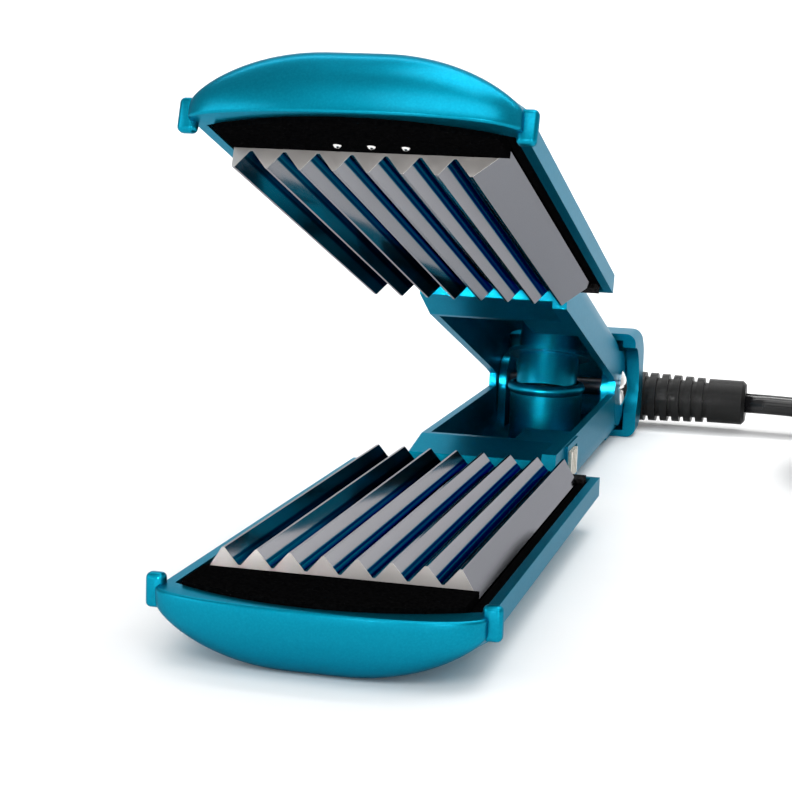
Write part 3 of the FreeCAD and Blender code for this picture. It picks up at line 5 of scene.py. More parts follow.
import bmesh
import bpy
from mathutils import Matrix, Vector


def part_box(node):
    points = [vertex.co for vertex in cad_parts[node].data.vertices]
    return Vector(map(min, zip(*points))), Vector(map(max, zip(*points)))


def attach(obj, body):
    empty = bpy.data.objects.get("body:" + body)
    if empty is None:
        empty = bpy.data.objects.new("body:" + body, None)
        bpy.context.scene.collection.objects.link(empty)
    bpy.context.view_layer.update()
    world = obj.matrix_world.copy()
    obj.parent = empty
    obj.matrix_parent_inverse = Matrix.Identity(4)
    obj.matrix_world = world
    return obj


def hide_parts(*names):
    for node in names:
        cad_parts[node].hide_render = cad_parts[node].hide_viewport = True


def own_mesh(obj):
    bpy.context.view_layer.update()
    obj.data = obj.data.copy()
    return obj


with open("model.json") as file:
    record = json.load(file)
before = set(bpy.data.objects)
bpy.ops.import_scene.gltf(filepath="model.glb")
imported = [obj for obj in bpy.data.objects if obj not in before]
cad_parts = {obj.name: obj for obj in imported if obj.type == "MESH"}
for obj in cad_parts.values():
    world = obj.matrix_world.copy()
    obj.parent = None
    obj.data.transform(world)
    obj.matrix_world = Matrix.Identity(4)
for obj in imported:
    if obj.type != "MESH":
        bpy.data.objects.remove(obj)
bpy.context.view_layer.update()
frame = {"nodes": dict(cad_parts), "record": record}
NODES = frame["nodes"]
MM = 0.001
PLATE_FRONT = 231.5
VALLEY_DEPTH = 1.75
TIP_HEIGHT = 1.35

# Width over which a plate's outer flank and its front end change their look, in millimetres
FLANK_BLEND = 0.1
END_BLEND_START = 0.3
END_BLEND_STOP = 0.1

# Camera fitted to the photograph's ridges, caps and hinge pin
CAMERA_PLACE = (0.09029, -0.44360, 0.10106)
CAMERA_TURN = (1.40964, -0.03165, 0.25324)
CAMERA_LENS = 86.36

# Hinge axis: the middle of the pin, at the level of the lower arm's closing plane
HINGE_LEVEL = 0.016
HINGE = Vector((0, (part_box("hinge_pin")[0][1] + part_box("hinge_pin")[1][1]) / 2, HINGE_LEVEL))


def add_object(name, data):
    """New object in the scene that shows the given data."""
    made = bpy.data.objects.new(name, data)
    bpy.context.scene.collection.objects.link(made)
    return made


# Materials


class Finish:
    """A node material with short calls for textures and links."""

    def __init__(self, name, **sockets):
        self.material = bpy.data.materials.new(name)
        self.material.use_nodes = True
        self.tree = self.material.node_tree
        self.shader = self.tree.nodes["Principled BSDF"]
        for socket, value in sockets.items():
            self.shader.inputs[socket.replace("_", " ")].default_value = value
        self.place = self.node("ShaderNodeTexCoord").outputs["Object"]

    def node(self, kind, **settings):
        """New node with the given settings."""
        made = self.tree.nodes.new(kind)
        for setting, value in settings.items():
            setattr(made, setting, value)
        return made

    def link(self, source, target):
        self.tree.links.new(source, target)

    def stretched(self, scale):
        """Object coordinates, scaled along each axis."""
        mapping = self.node("ShaderNodeMapping")
        mapping.inputs["Scale"].default_value = scale
        self.link(self.place, mapping.inputs["Vector"])
        return mapping.outputs["Vector"]

    def noise(self, scale, detail=3.0, stretch=(1, 1, 1)):
        texture = self.node("ShaderNodeTexNoise")
        texture.inputs["Scale"].default_value = scale
        texture.inputs["Detail"].default_value = detail
        self.link(self.stretched(stretch), texture.inputs["Vector"])
        return texture.outputs["Fac"]

    def ramp(self, source, stops):
        """Colours at positions from zero to one, blended between them."""
        ramp = self.node("ShaderNodeValToRGB")
        elements = ramp.color_ramp.elements
        elements[0].position, elements[0].color = stops[0][0], (*stops[0][1], 1)
        elements[1].position, elements[1].color = stops[-1][0], (*stops[-1][1], 1)
        for position, colour in stops[1:-1]:
            added = elements.new(position)
            added.color = (*colour, 1)
        self.link(source, ramp.inputs["Fac"])
        return ramp.outputs["Color"]

    def spread(self, source, low, high):
        """Value from zero to one taken to a range."""
        remap = self.node("ShaderNodeMapRange")
        remap.inputs["To Min"].default_value = low
        remap.inputs["To Max"].default_value = high
        self.link(source, remap.inputs["Value"])
        return remap.outputs["Result"]

    def mix(self, factor, first, second):
        """Blend of two colours, each a value or a link."""
        mixer = self.node("ShaderNodeMix", data_type="RGBA")
        self.link(factor, mixer.inputs["Factor"])
        for socket, value in ((mixer.inputs["A"], first), (mixer.inputs["B"], second)):
            if isinstance(value, tuple):
                socket.default_value = (*value, 1)
            else:
                self.link(value, socket)
        return mixer.outputs["Result"]

    def toward(self, way, start, end):
        """Zero before start and one after end in a direction, in metres."""
        measure = self.node("ShaderNodeVectorMath", operation="DOT_PRODUCT")
        measure.inputs[1].default_value = way
        self.link(self.place, measure.inputs[0])
        remap = self.node("ShaderNodeMapRange")
        remap.inputs["From Min"].default_value = start
        remap.inputs["From Max"].default_value = end
        self.link(measure.outputs["Value"], remap.inputs["Value"])
        return remap.outputs["Result"]

    def colour(self, source):
        self.link(source, self.shader.inputs["Base Color"])

    def rough(self, source):
        self.link(source, self.shader.inputs["Roughness"])

    def bump(self, height, strength, distance):
        bump = self.node("ShaderNodeBump")
        bump.inputs["Strength"].default_value = strength
        bump.inputs["Distance"].default_value = distance
        self.link(height, bump.inputs["Height"])
        self.link(bump.outputs["Normal"], self.shader.inputs["Normal"])


def teal_paint():
    """Satin metallic teal lacquer with very fine flake and a thin clear coat."""
    finish = Finish("teal_paint", Metallic=0.95, Coat_Weight=0.04, Coat_Roughness=0.12)
    finish.shader.inputs["Specular Tint"].default_value = (0.42, 0.48, 0.53, 1)
    flake = finish.noise(2400, 2)
    drift = finish.noise(22, 2)
    base = finish.ramp(flake, [
        (0.3, (0.0, 0.225, 0.345)),
        (0.55, (0.001, 0.25, 0.375)),
        (0.8, (0.003, 0.28, 0.41)),
    ])
    finish.colour(finish.mix(finish.spread(drift, 0.0, 0.2), base, (0.0, 0.19, 0.31)))
    finish.rough(finish.spread(finish.noise(700, 2), 0.3, 0.36))
    finish.bump(flake, 0.03, 0.0001)
    return finish.material


def titanium(name, reach_way, face_way, outer):
    """Polished coated plate, drawn along its ridges; its stripes across the ridges are painted reflection,
    deep blue in the valleys; matte at its front.
    """
    finish = Finish(name, Metallic=1.0)
    streaks = finish.noise(700, 4, (1, 0.03, 0.03))
    face = HINGE.dot(face_way)
    height = finish.toward(face_way, face - VALLEY_DEPTH * MM, face + TIP_HEIGHT * MM)
    # Painted reflection: stripes by height across the ridges, deep blue and teal in the valleys for the teal
    # arms and ridges they face, thin lighter lines as painted highlights, grey metal at the tips
    painted_reflection_bands = finish.ramp(height, [
        (0.0, (0.16, 0.2, 0.22)),
        (0.05, (0.0, 0.045, 0.075)),
        (0.2, (0.0, 0.09, 0.13)),
        (0.26, (0.09, 0.14, 0.16)),
        (0.3, (0.0, 0.04, 0.065)),
        (0.4, (0.0, 0.08, 0.115)),
        (0.46, (0.3, 0.3, 0.315)),
        (1.0, (0.34, 0.34, 0.355)),
    ])
    brushed = finish.mix(finish.spread(streaks, 0.0, 0.35), painted_reflection_bands, (0.37, 0.37, 0.385))
    flank = finish.toward((1, 0, 0), outer * MM, (outer + FLANK_BLEND) * MM)
    polished_with_painted_reflection = finish.mix(flank, finish.mix(height, painted_reflection_bands, brushed), (0.26, 0.265, 0.28))
    # Painted reflection in the edge tint as well: teal in the valleys, grey at the tips
    painted_reflection_tint = finish.ramp(height, [
        (0.0, (0.05, 0.24, 0.31)),
        (0.4, (0.05, 0.26, 0.33)),
        (0.47, (0.45, 0.45, 0.47)),
    ])
    finish.link(finish.mix(flank, painted_reflection_tint, (0.45, 0.45, 0.47)), finish.shader.inputs["Specular Tint"])
    front = HINGE.dot(reach_way) + PLATE_FRONT * MM
    end = finish.toward(reach_way, front - END_BLEND_START * MM, front - END_BLEND_STOP * MM)
    finish.colour(finish.mix(end, polished_with_painted_reflection, (0.66, 0.63, 0.61)))
    rough = finish.node("ShaderNodeMix", data_type="FLOAT")
    finish.link(end, rough.inputs["Factor"])
    finish.link(finish.spread(streaks, 0.05, 0.11), rough.inputs["A"])
    finish.link(finish.spread(finish.noise(700, 3), 0.35, 0.55), rough.inputs["B"])
    finish.rough(rough.outputs["Result"])
    finish.bump(streaks, 0.04, 0.0001)
    return finish.material


def black_plastic():
    """Heat-resistant plastic with a fine moulded grain."""
    finish = Finish("black_plastic", Specular_IOR_Level=0.0)
    grain = finish.noise(1500, 4)
    finish.colour(finish.ramp(grain, [(0.3, (0.0008, 0.0008, 0.001)), (0.7, (0.0032, 0.0032, 0.0034))]))
    finish.rough(finish.spread(grain, 0.75, 0.95))
    finish.bump(grain, 0.5, 0.0004)
    return finish.material


def seal_fibre():
    """Felted black insulation."""
    finish = Finish("seal_fibre", Roughness=1.0, Specular_IOR_Level=0.05)
    fuzz = finish.noise(1300, 6)
    finish.colour(finish.ramp(fuzz, [(0.35, (0.003, 0.003, 0.003)), (0.75, (0.03, 0.028, 0.028))]))
    finish.bump(fuzz, 0.9, 0.0008)
    return finish.material


def plain_metal(name, colour, low, high, brushed=(1, 1, 1)):
    """Bare metal whose roughness and tone vary a little."""
    finish = Finish(name, Metallic=1.0)
    grain = finish.noise(800, 4, brushed)
    dark = tuple(0.85 * part for part in colour)
    finish.colour(finish.ramp(grain, [(0.3, dark), (0.7, colour)]))
    finish.rough(finish.spread(grain, low, high))
    return finish.material


def black_rubber():
    """Moulded rubber, a little dusty in patches."""
    finish = Finish("black_rubber", Specular_IOR_Level=0.22)
    grain = finish.noise(1100, 4)
    dust = finish.noise(120, 3)
    base = finish.ramp(grain, [(0.3, (0.002, 0.002, 0.002)), (0.7, (0.006, 0.006, 0.006))])
    finish.colour(finish.mix(finish.spread(dust, 0.0, 0.3), base, (0.012, 0.0115, 0.011)))
    finish.rough(finish.spread(grain, 0.34, 0.5))
    finish.bump(grain, 0.15, 0.0002)
    return finish.material


def cord_sheath():
    """Glossy black sheath with slight waviness from the extruder."""
    finish = Finish("cord_sheath", Specular_IOR_Level=0.35)
    wave = finish.noise(160, 3)
    finish.colour(finish.ramp(wave, [(0.3, (0.003, 0.003, 0.0035)), (0.7, (0.008, 0.008, 0.009))]))
    finish.rough(finish.spread(wave, 0.18, 0.32))
    finish.bump(wave, 0.12, 0.0004)
    return finish.material


def speckled(name, dark, light, low, high, scale=900):
    """Dull solid material with a fine speckle."""
    finish = Finish(name)
    grain = finish.noise(scale, 4)
    finish.colour(finish.ramp(grain, [(0.35, dark), (0.65, light)]))
    finish.rough(finish.spread(grain, low, high))
    finish.bump(grain, 0.1, 0.0002)
    return finish.material


def silver_lacquer():
    """Silver-lacquered plastic of the slide knob."""
    finish = Finish("silver_plastic", Metallic=0.55, Coat_Weight=0.3)
    flake = finish.noise(2200, 2)
    finish.colour(finish.ramp(flake, [(0.3, (0.50, 0.46, 0.38)), (0.7, (0.68, 0.64, 0.55))]))
    finish.rough(finish.spread(flake, 0.3, 0.45))
    return finish.material


# Directions of each arm at rest: toward its nose, and out of its plate's face
OPENING = math.radians(17.9)
LOWER_WAY = Vector((0, -1, 0))
LOWER_FACE = Vector((0, 0, 1))
UPPER_WAY = Vector((0, -math.cos(OPENING), math.sin(OPENING)))
UPPER_FACE = Vector((0, -math.sin(OPENING), -math.cos(OPENING)))
LOWER_OUTER_FLANK = 22.5
UPPER_OUTER_FLANK = 19.3
FINISHES = {
    "teal_paint": teal_paint(),
    "titanium_plate": titanium("titanium_plate", LOWER_WAY, LOWER_FACE, LOWER_OUTER_FLANK),
    "black_plastic": black_plastic(),
    "seal_fibre": seal_fibre(),
    "steel": plain_metal("steel", (0.55, 0.55, 0.57), 0.25, 0.42, (1, 0.2, 1)),
    "chrome": plain_metal("chrome", (0.86, 0.85, 0.84), 0.05, 0.12),
    "spring_steel": plain_metal("spring_steel", (0.42, 0.42, 0.44), 0.28, 0.45),
    "brass": plain_metal("brass", (0.78, 0.62, 0.32), 0.16, 0.3, (1, 0.1, 1)),
    "ceramic": speckled("ceramic", (0.72, 0.70, 0.64), (0.82, 0.80, 0.75), 0.4, 0.55),
    "grey_plastic": speckled("grey_plastic", (0.22, 0.22, 0.23), (0.30, 0.30, 0.31), 0.45, 0.6),
    "board_green": speckled("board_green", (0.01, 0.09, 0.04), (0.02, 0.14, 0.06), 0.3, 0.5, 500),
    "silver_plastic": silver_lacquer(),
    "black_rubber": black_rubber(),
    "cord_sheath": cord_sheath(),
}


def dress_nodes():
    """Give each CAD node the finish of its slot; the upper plate and the pin have their own."""
    for entry in frame["record"]["subparts"]:
        node = NODES[entry["node"]]
        for material_slot in node.material_slots:
            material_slot.material = FINISHES[entry["material_slot"]]
    # The upper plate's finish, with its painted reflection stripes turned to the upper arm's directions
    upper_plate_finish = titanium("titanium_upper", UPPER_WAY, UPPER_FACE, UPPER_OUTER_FLANK)
    NODES["upper_plate"].material_slots[0].material = upper_plate_finish
    # The hinge pin gets steel much darker than the other steel parts
    NODES["hinge_pin"].material_slots[0].material = plain_metal("dark_steel", (0.1, 0.1, 0.11), 0.3, 0.45)


dress_nodes()


CORNER_ANGLE = math.radians(30)
BEVEL_ANGLE = math.radians(35)
WELD_REACH = 0.00001
EDGE_WIDTHS = {
    "lower_shell": 0.35,
    "upper_shell": 0.35,
    "lower_carrier": 0.4,
    "upper_carrier": 0.4,
    "lower_plate": 0.2,
    "upper_plate": 0.2,
    "rear_cover": 0.4,
    "switch_knob": 0.2,
}


def corner_shading():
    """Node group that drops a mesh's stored normals and keeps only its corners sharp."""
    group = bpy.data.node_groups.new("corner_shading", "GeometryNodeTree")
    group.interface.new_socket("Geometry", in_out="INPUT", socket_type="NodeSocketGeometry")
    group.interface.new_socket("Geometry", in_out="OUTPUT", socket_type="NodeSocketGeometry")
    start = group.nodes.new("NodeGroupInput")
    finish = group.nodes.new("NodeGroupOutput")
    strip = group.nodes.new("GeometryNodeRemoveAttribute")
    strip.inputs["Name"].default_value = "custom_normal"
    bend = group.nodes.new("GeometryNodeInputMeshEdgeAngle")
    gentle = group.nodes.new("FunctionNodeCompare")
    gentle.operation = "LESS_THAN"
    gentle.inputs[1].default_value = CORNER_ANGLE
    edges = group.nodes.new("GeometryNodeSetShadeSmooth")
    edges.domain = "EDGE"
    group.links.new(start.outputs[0], strip.inputs["Geometry"])
    group.links.new(bend.outputs["Unsigned Angle"], gentle.inputs[0])
    group.links.new(strip.outputs["Geometry"], edges.inputs["Geometry"])
    group.links.new(gentle.outputs["Result"], edges.inputs["Shade Smooth"])
    group.links.new(edges.outputs["Geometry"], finish.inputs[0])
    return group


CORNER_SHADING = corner_shading()


def soften(name, width):
    """Hairline rounding that catches the light along a node's sharp edges."""
    weld = NODES[name].modifiers.new("joined", "WELD")
    weld.merge_threshold = WELD_REACH
    shading = NODES[name].modifiers.new("corners", "NODES")
    shading.node_group = CORNER_SHADING
    bevel = NODES[name].modifiers.new("edges", "BEVEL")
    bevel.width = width * MM
    bevel.segments = 2
    bevel.limit_method = "ANGLE"
    bevel.angle_limit = BEVEL_ANGLE
    bevel.harden_normals = True


for edge_node, edge_width in EDGE_WIDTHS.items():
    soften(edge_node, edge_width)


# End caps

HEAD_HALF = 30.0
CAP_JOINT = 241.5
CAP_STRAIGHT = 3.0
CAP_BOW = 7.5
CAP_FULLNESS = 2.6
CAP_RIM = 3.2
CAP_DEPTH = 16.0
CAP_LAND = 5.0
CAP_SHOULDER = 8.0
RIM_ROUNDING = 0.6
RECESS_HALF = 27.9
RECESS_TIP = 249.65
RECESS_FLOOR = 6.55
EAR_LEVEL = 4.5
EAR_MIDDLE = 30.6
EAR_SIZE = (3.6, 2.6, 6.4)
EAR_ROUNDING = 1.0

# Steps across half the cap and along its swell, the powers that space them, and how square the rows' ends are
CROSS_STEPS = 26
CROSS_POWER = 0.85
SWELL_STEPS = 16
SWELL_POWER = 0.9
JOINT_ROWS = ((0, 24), (CAP_STRAIGHT / 2, 12), (CAP_STRAIGHT, 8))
NOSE_POWER = 8
RIM_TURNS = (22.5, 45, 67.5, 90)
SHARP_ANGLE = math.radians(40)
MERGE_REACH = 0.002


def lower_point(x, reach, level):
    """Point of the lower arm: millimetres across, from the hinge axis and below its closing plane."""
    return Vector((x * MM, HINGE.y - reach * MM, HINGE.z - level * MM))


def upper_point(x, reach, level):
    """The same point of the upper arm, which lies opened above the lower one."""
    return HINGE + UPPER_WAY * reach * MM - UPPER_FACE * level * MM + Vector((x * MM, 0, 0))


def crown_level(x):
    """Level of the arm's crowned outer face at a distance from its middle."""
    run = HEAD_HALF - CAP_LAND
    rise = CAP_DEPTH - CAP_SHOULDER
    radius = (run ** 2 + rise ** 2) / (2 * rise)
    beyond = max(abs(x) - CAP_LAND, 0)
    return CAP_DEPTH - radius + math.sqrt(radius ** 2 - beyond ** 2)


def round_off(part, power):
    """Falls from one to zero, as a superellipse does, while part goes from zero to one."""
    return (1 - min(abs(part), 1) ** power) ** (1 / power)


def bow_reach(share):
    """Length of the cap's bow at a share of its half width."""
    return CAP_BOW * (1 - min(abs(share), 1) ** CAP_FULLNESS) ** 0.5


def cap_grid(base):
    """Rows of the pillow-shaped outside, from the joint to the nose."""
    shares = []
    for index in range(-CROSS_STEPS, CROSS_STEPS + 1):
        turn = math.sin(math.radians(90 * abs(index) / CROSS_STEPS)) ** CROSS_POWER
        shares.append(math.copysign(turn, index) if index else 0.0)
    rows = []
    for reach, power in JOINT_ROWS:
        row = []
        for share in shares:
            level = base + (crown_level(share * HEAD_HALF) - base) * round_off(share, power)
            row.append((share * HEAD_HALF, CAP_JOINT + reach, level))
        rows.append(row)
    for index in range(1, SWELL_STEPS + 1):
        turn = math.radians(90 * index / SWELL_STEPS)
        along = math.sin(turn) ** SWELL_POWER
        swell = max(math.cos(turn), 0) ** SWELL_POWER if index < SWELL_STEPS else 0.0
        row = []
        for share in shares:
            fall = (crown_level(share * HEAD_HALF) - base) * round_off(share, NOSE_POWER) * swell
            reach = CAP_JOINT + CAP_STRAIGHT + bow_reach(share) * along
            row.append((share * HEAD_HALF, reach, base + fall))
        rows.append(row)
    return rows


def outline_normal(x, reach):
    """Outward direction of the cap's outline, in X and reach."""
    share = x / HEAD_HALF
    across = math.copysign(CAP_FULLNESS * abs(share) ** (CAP_FULLNESS - 1) / HEAD_HALF, x)
    onward = 2 * max(reach - CAP_JOINT - CAP_STRAIGHT, 0) / CAP_BOW ** 2
    length = math.hypot(across, onward)
    return across / length, onward / length


def recess_reach(x):
    """Front of the recess that takes the carrier's curved nose."""
    bulge = RECESS_TIP - CAP_JOINT
    radius = (RECESS_HALF ** 2 + bulge ** 2) / (2 * bulge)
    return RECESS_TIP - radius + math.sqrt(radius ** 2 - x ** 2)


def add_ear(mesh, point, side):
    """Small rounded ear at one end of the cap's joint."""
    block = bmesh.new()
    bmesh.ops.create_cube(block, size=1)
    for vertex in block.verts:
        vertex.co = (
            side * EAR_MIDDLE + EAR_SIZE[0] * vertex.co.x,
            CAP_JOINT + EAR_SIZE[1] * (0.5 + vertex.co.y),
            EAR_LEVEL + EAR_SIZE[2] * vertex.co.z,
        )
    bmesh.ops.bevel(block, geom=block.edges[:], offset=EAR_ROUNDING, segments=4, profile=0.5, affect="EDGES")
    copies = {vertex: mesh.verts.new(point(*vertex.co)) for vertex in block.verts}
    for face in block.faces:
        mesh.faces.new([copies[vertex] for vertex in face.verts])
    block.free()


def end_cap(name, node, point):
    """Nose cap: pillow outside, rounded rim, recess for the carrier and an ear each side."""
    mesh = bmesh.new()
    base = CAP_RIM + RIM_ROUNDING
    spots = cap_grid(base)
    grid = [[mesh.verts.new(point(*spot)) for spot in row] for row in spots]
    for first, second in zip(grid, grid[1:]):
        for index in range(len(first) - 1):
            mesh.faces.new((first[index], first[index + 1], second[index + 1], second[index]))
    straight = len(JOINT_ROWS)
    left = [row[0] for row in spots[:straight]]
    right = [row[-1] for row in spots[:straight]]
    edge = left + spots[-1][1:-1] + right[::-1]
    left_verts = [row[0] for row in grid[:straight]]
    right_verts = [row[-1] for row in grid[:straight]]
    loops = [left_verts + grid[-1][1:-1] + right_verts[::-1]]
    for turn in RIM_TURNS:
        inward = RIM_ROUNDING * (1 - math.cos(math.radians(turn)))
        rise = RIM_ROUNDING * math.sin(math.radians(turn))
        loop = []
        for x, reach, level in edge:
            across, onward = outline_normal(x, reach)
            loop.append(mesh.verts.new(point(x - across * inward, reach - onward * inward, level - rise)))
        loops.append(loop)
    inner = [max(-RECESS_HALF, min(RECESS_HALF, x * RECESS_HALF / HEAD_HALF)) for x, reach, level in edge]
    for level in (CAP_RIM, RECESS_FLOOR):
        loops.append([mesh.verts.new(point(x, recess_reach(x), level)) for x in inner])
    for first, second in zip(loops, loops[1:]):
        for index in range(len(first) - 1):
            mesh.faces.new((first[index], first[index + 1], second[index + 1], second[index]))
    mesh.faces.new(loops[-1])
    back = grid[0] + [loop[-1] for loop in loops[1:]] + [loop[0] for loop in loops[:0:-1]]
    mesh.faces.new(back)
    bmesh.ops.remove_doubles(mesh, verts=mesh.verts, dist=MERGE_REACH * MM)
    for side in (-1, 1):
        add_ear(mesh, point, side)
    bmesh.ops.recalc_face_normals(mesh, faces=mesh.faces)
    data = bpy.data.meshes.new(name)
    mesh.to_mesh(data)
    mesh.free()
    for face in data.polygons:
        face.use_smooth = True
    data.set_sharp_from_angle(angle=SHARP_ANGLE)
    cap = add_object(name, data)
    data.materials.append(FINISHES["teal_paint"])
    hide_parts(node)
    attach(cap, "lower_arm" if node.startswith("lower") else "upper_arm")
    return cap


end_cap("lower_nose", "lower_end_cap", lower_point)
end_cap("upper_nose", "upper_end_cap", upper_point)


# Cord

# Flat cord and its put-away coil, in millimetres; a slot is a column and a layer of the coil
CORD_WIDTH = 10.4
CORD_THICKNESS = 5.2
COIL_CENTRE = (138.0, -27.5)
COIL_RADIUS = 57.0
COIL_START = -5.0
COIL_TURNS = 7
COIL_FLOOR = 0.8
POINTS_PER_TURN = 24
SLOT_STEP = 32 / 360
SLOT_LEAD = 10 / 360
FLUTE = ((0.55, 0), (0.45, 0.35), (-0.45, 0.35), (-0.55, 0))
COIL_SLOTS = [(1, 0), (-1, 0), (-1, 1), (1, 1), (1, 2), (-1, 2), (-1, 3), (1, 3)]

TUBE_ROUTE = [
    (53.0, 32.5, 9.0),
    (74.0, 32.5, 9.0),
    (94.0, 32.7, 5.6),
    (113.0, 33.4, 3.7),
    (132.6, 34.5, 3.4),
]
TAIL_ROUTE = [
    (136.0, 34.6, 19.0),
    (163.3, 29.3, 19.0),
    (184.2, 14.1, 19.0),
    (197.2, -8.3, 19.0),
    (199.9, -34.0, 19.0),
    (198.4, -57.0, 18.6),
    (195.0, -78.0, 13.0),
    (192.6, -98.0, 8.6),
    (191.5, -112.5, 8.0),
]


def table_point(x, y, z):
    """Point of a cord route: millimetres, Y from the hinge axis, Z above the table."""
    return Vector((x * MM, HINGE.y + y * MM, z * MM))


def coil_point(turn):
    """Point of the coil after a number of turns; it changes slot near the end of each turn."""
    index = min(int(turn), COIL_TURNS - 1)
    share = turn - index
    start = 1 - (index + 1) * SLOT_STEP - SLOT_LEAD
    move = min(max((share - start) / SLOT_STEP, 0), 1)
    move = (1 - math.cos(math.pi * move)) / 2
    column = COIL_SLOTS[index][0] + (COIL_SLOTS[index + 1][0] - COIL_SLOTS[index][0]) * move
    layer = COIL_SLOTS[index][1] + (COIL_SLOTS[index + 1][1] - COIL_SLOTS[index][1]) * move
    radius = COIL_RADIUS + column * CORD_WIDTH / 2
    angle = math.radians(COIL_START + 360 * turn)
    return table_point(
        COIL_CENTRE[0] + radius * math.sin(angle),
        COIL_CENTRE[1] + radius * math.cos(angle),
        COIL_FLOOR + (layer + 0.5) * CORD_THICKNESS,
    )


def cord_points():
    """Control points of the whole cord, from the strain relief to the plug."""
    points = [table_point(*point) for point in TUBE_ROUTE]
    for step in range(1, COIL_TURNS * POINTS_PER_TURN):
        points.append(coil_point(step / POINTS_PER_TURN))
    points += [table_point(*point) for point in TAIL_ROUTE]
    return points


def spline_line(name, points):
    """Points along a NURBS spline that has the given control points."""
    curve = bpy.data.curves.new(name, "CURVE")
    curve.dimensions = "3D"
    curve.resolution_u = 6
    spline = curve.splines.new("NURBS")
    spline.points.add(len(points) - 1)
    for control, point in zip(spline.points, points):
        control.co = (*point, 1)
    spline.order_u = 3
    spline.use_endpoint_u = True
    drawn = add_object(name, curve)
    mesh = bpy.data.meshes.new_from_object(drawn)
    line = [vertex.co.copy() for vertex in mesh.vertices]
    bpy.data.objects.remove(drawn)
    bpy.data.meshes.remove(mesh)
    bpy.data.curves.remove(curve)
    return line


def flat_section():
    """Flat cord's outline: round edges and a shallow flute along each broad side."""
    low = CORD_THICKNESS / 2
    flat = CORD_WIDTH / 2 - low
    outline = []
    for side in (1, -1):
        for step in range(9):
            angle = math.radians(-90 + 180 * step / 8)
            outline.append((side * (flat + low * math.cos(angle)), side * low * math.sin(angle)))
        for across, drop in FLUTE:
            outline.append((side * across * flat, side * (low - drop)))
    return outline


def sweep(name, line, outline):
    """Mesh tube of an outline swept along a line, its broad side kept level."""
    mesh = bmesh.new()
    rings = []
    for index, point in enumerate(line):
        before = line[max(index - 1, 0)]
        after = line[min(index + 1, len(line) - 1)]
        way = (after - before).normalized()
        across = way.cross(Vector((0, 0, 1))).normalized()
        up = across.cross(way).normalized()
        rings.append([mesh.verts.new(point + across * x * MM + up * z * MM) for x, z in outline])
    count = len(outline)
    for first, second in zip(rings, rings[1:]):
        for index in range(count):
            following = (index + 1) % count
            mesh.faces.new((first[index], first[following], second[following], second[index]))
    mesh.faces.new(reversed(rings[0]))
    mesh.faces.new(rings[-1])
    bmesh.ops.recalc_face_normals(mesh, faces=mesh.faces)
    data = bpy.data.meshes.new(name)
    mesh.to_mesh(data)
    mesh.free()
    for face in data.polygons:
        face.use_smooth = len(face.vertices) == 4
    return add_object(name, data)


cord_line = spline_line("cord_route", cord_points())
cord = sweep("mains_cord", cord_line, flat_section())
cord.data.materials.append(FINISHES["cord_sheath"])
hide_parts("cord_tube", "cord_coil", "cord_tail")
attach(cord, "lower_arm")


# Spring

SPRING_TURNS = 7
SPRING_STEPS = 24
SPRING_WIRE = 1.2


def spring_line(low, high):
    """Helix of the opening spring, its end turns closed up."""
    wire = SPRING_WIRE * MM
    middle = (low + high) / 2
    radius = (high.x - low.x - wire) / 2
    rise = high.z - low.z - wire
    pitch = (rise - 2 * wire) / (SPRING_TURNS - 2)
    line = []
    for step in range(SPRING_TURNS * SPRING_STEPS + 1):
        turn = step / SPRING_STEPS
        angle = math.radians(360 * turn)
        level = min(turn, 1) * wire + max(min(turn, SPRING_TURNS - 1) - 1, 0) * pitch
        level += max(turn - SPRING_TURNS + 1, 0) * wire
        x = middle.x + radius * math.cos(angle)
        y = middle.y + radius * math.sin(angle)
        line.append(Vector((x, y, low.z + wire / 2 + level)))
    return line


def wire_section():
    """Round outline of the spring's wire."""
    half = SPRING_WIRE / 2
    angles = [math.radians(30 * step) for step in range(12)]
    return [(half * math.cos(angle), half * math.sin(angle)) for angle in angles]


def opening_coil():
    """The spring as its own piece: the helix swept as a wire and attached to the lower arm."""
    low, high = (Vector(corner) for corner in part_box("opening_spring"))
    coil = sweep("opening_coil", spring_line(low, high), wire_section())
    coil.data.materials.append(FINISHES["spring_steel"])
    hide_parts("opening_spring")
    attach(coil, "lower_arm")
    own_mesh(coil)
    return coil


opening_coil()


# Stage

FLOOR_HALF = 4
FLOOR_FRONT = -2.4
BEND_START = 1.6
BEND_RADIUS = 0.9
BEND_STEPS = 16
WALL_TOP = 3.0

# Each lamp: place, aim, its two sizes and its power
LAMPS = {
    "key": ((0.3, -1.1, 1.0), (0, 0, 0.05), 1.3, 0.6, 7),
    "fill": ((-0.85, -0.75, 0.3), (0, 0, 0.05), 0.8, 0.8, 3.5),
    "low_right": ((0.35, -0.9, 0.1), (0, 0.08, 0.03), 0.14, 0.3, 1.2),
    "low_left": ((-0.08, -0.9, 0.1), (0, 0.08, 0.03), 0.1, 0.3, 0.8),
    "top": ((0.18, -0.05, 1.2), (0, 0, 0), 0.9, 0.6, 5),
    "between_arms": ((-0.09, -0.5, 0.082), (0, 0.085, 0.02), 0.05, 0.05, 0.004),
    "backdrop": ((0, 0.8, 1.6), (0, 2.2, 0.2), 3.0, 0.8, 46),
}
NARROW_BEAM = math.radians(6)
ROOM_LIGHT = (("X", 0.52, 0.58), ("Y", 0.6, 1.3))


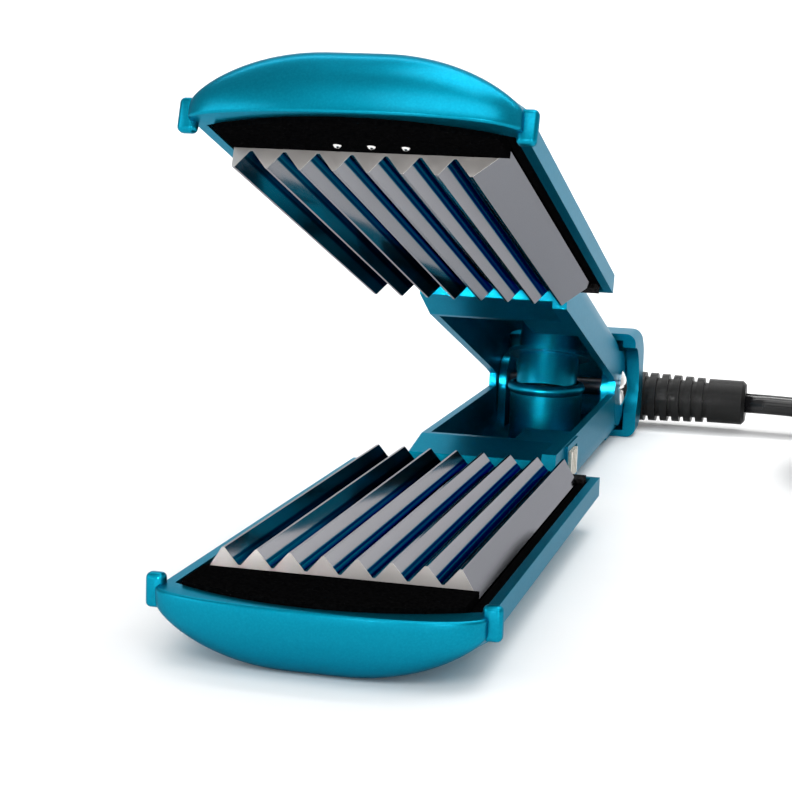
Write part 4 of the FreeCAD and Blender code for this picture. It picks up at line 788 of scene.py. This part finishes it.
def floor_and_backdrop():
    """Pale floor that curves up far behind the crimper."""
    mesh = bmesh.new()
    rows = []
    profile = [(FLOOR_FRONT, 0.0), (BEND_START, 0.0)]
    for step in range(1, BEND_STEPS + 1):
        angle = math.radians(90 * step / BEND_STEPS)
        profile.append((BEND_START + BEND_RADIUS * math.sin(angle), BEND_RADIUS * (1 - math.cos(angle))))
    profile.append((BEND_START + BEND_RADIUS, WALL_TOP))
    for y, z in profile:
        rows.append([mesh.verts.new((x, y, z)) for x in (-FLOOR_HALF, FLOOR_HALF)])
    for first, second in zip(rows, rows[1:]):
        mesh.faces.new((first[0], first[1], second[1], second[0]))
    data = bpy.data.meshes.new("floor")
    mesh.to_mesh(data)
    mesh.free()
    for face in data.polygons:
        face.use_smooth = True
    floor = add_object("floor", data)
    finish = Finish("pale_floor", Roughness=0.7)
    finish.colour(finish.ramp(finish.noise(30, 3), [(0.3, (0.93, 0.93, 0.93)), (0.7, (0.96, 0.96, 0.96))]))
    floor.data.materials.append(finish.material)
    return floor


def soft_light(name, place, aim, size_x, size_y, power):
    """White area lamp at a place, turned toward its aim."""
    lamp = bpy.data.lights.new(name, "AREA")
    lamp.shape = "RECTANGLE"
    lamp.size = size_x
    lamp.size_y = size_y
    lamp.energy = power
    lit = add_object(name, lamp)
    lit.location = place
    lit.rotation_euler = (Vector(aim) - Vector(place)).to_track_quat("-Z", "Y").to_euler()
    return lit


def surroundings():
    """Soft white room, dimmer behind the camera."""
    world = bpy.data.worlds.new("studio")
    world.use_nodes = True
    tree = world.node_tree
    way = tree.nodes.new("ShaderNodeTexCoord").outputs["Generated"]
    split = tree.nodes.new("ShaderNodeSeparateXYZ")
    tree.links.new(way, split.inputs["Vector"])
    product = tree.nodes.new("ShaderNodeMath")
    product.operation = "MULTIPLY"
    for slot, (axis, low, high) in enumerate(ROOM_LIGHT):
        remap = tree.nodes.new("ShaderNodeMapRange")
        remap.inputs["From Min"].default_value = -1
        remap.inputs["To Min"].default_value = low
        remap.inputs["To Max"].default_value = high
        tree.links.new(split.outputs[axis], remap.inputs["Value"])
        tree.links.new(remap.outputs["Result"], product.inputs[slot])
    background = tree.nodes["Background"]
    background.inputs["Color"].default_value = (1, 1, 1, 1)
    tree.links.new(product.outputs["Value"], background.inputs["Strength"])
    bpy.context.scene.world = world


def studio():
    """Floor, lamps and room; the lamp between the arms has a narrow beam."""
    floor_and_backdrop()
    lamps = {name: soft_light(name, *facts) for name, facts in LAMPS.items()}
    lamps["between_arms"].data.spread = NARROW_BEAM
    surroundings()
    bpy.context.scene.view_settings.view_transform = "Standard"


def camera():
    """Camera at the photograph's angle."""
    lens = bpy.data.cameras.new("camera")
    lens.sensor_fit = "HORIZONTAL"
    lens.sensor_width = 36
    lens.lens = CAMERA_LENS
    lens.clip_start = 0.01
    made = add_object("camera", lens)
    made.location = CAMERA_PLACE
    made.rotation_euler = CAMERA_TURN
    bpy.context.scene.camera = made


studio()
camera()
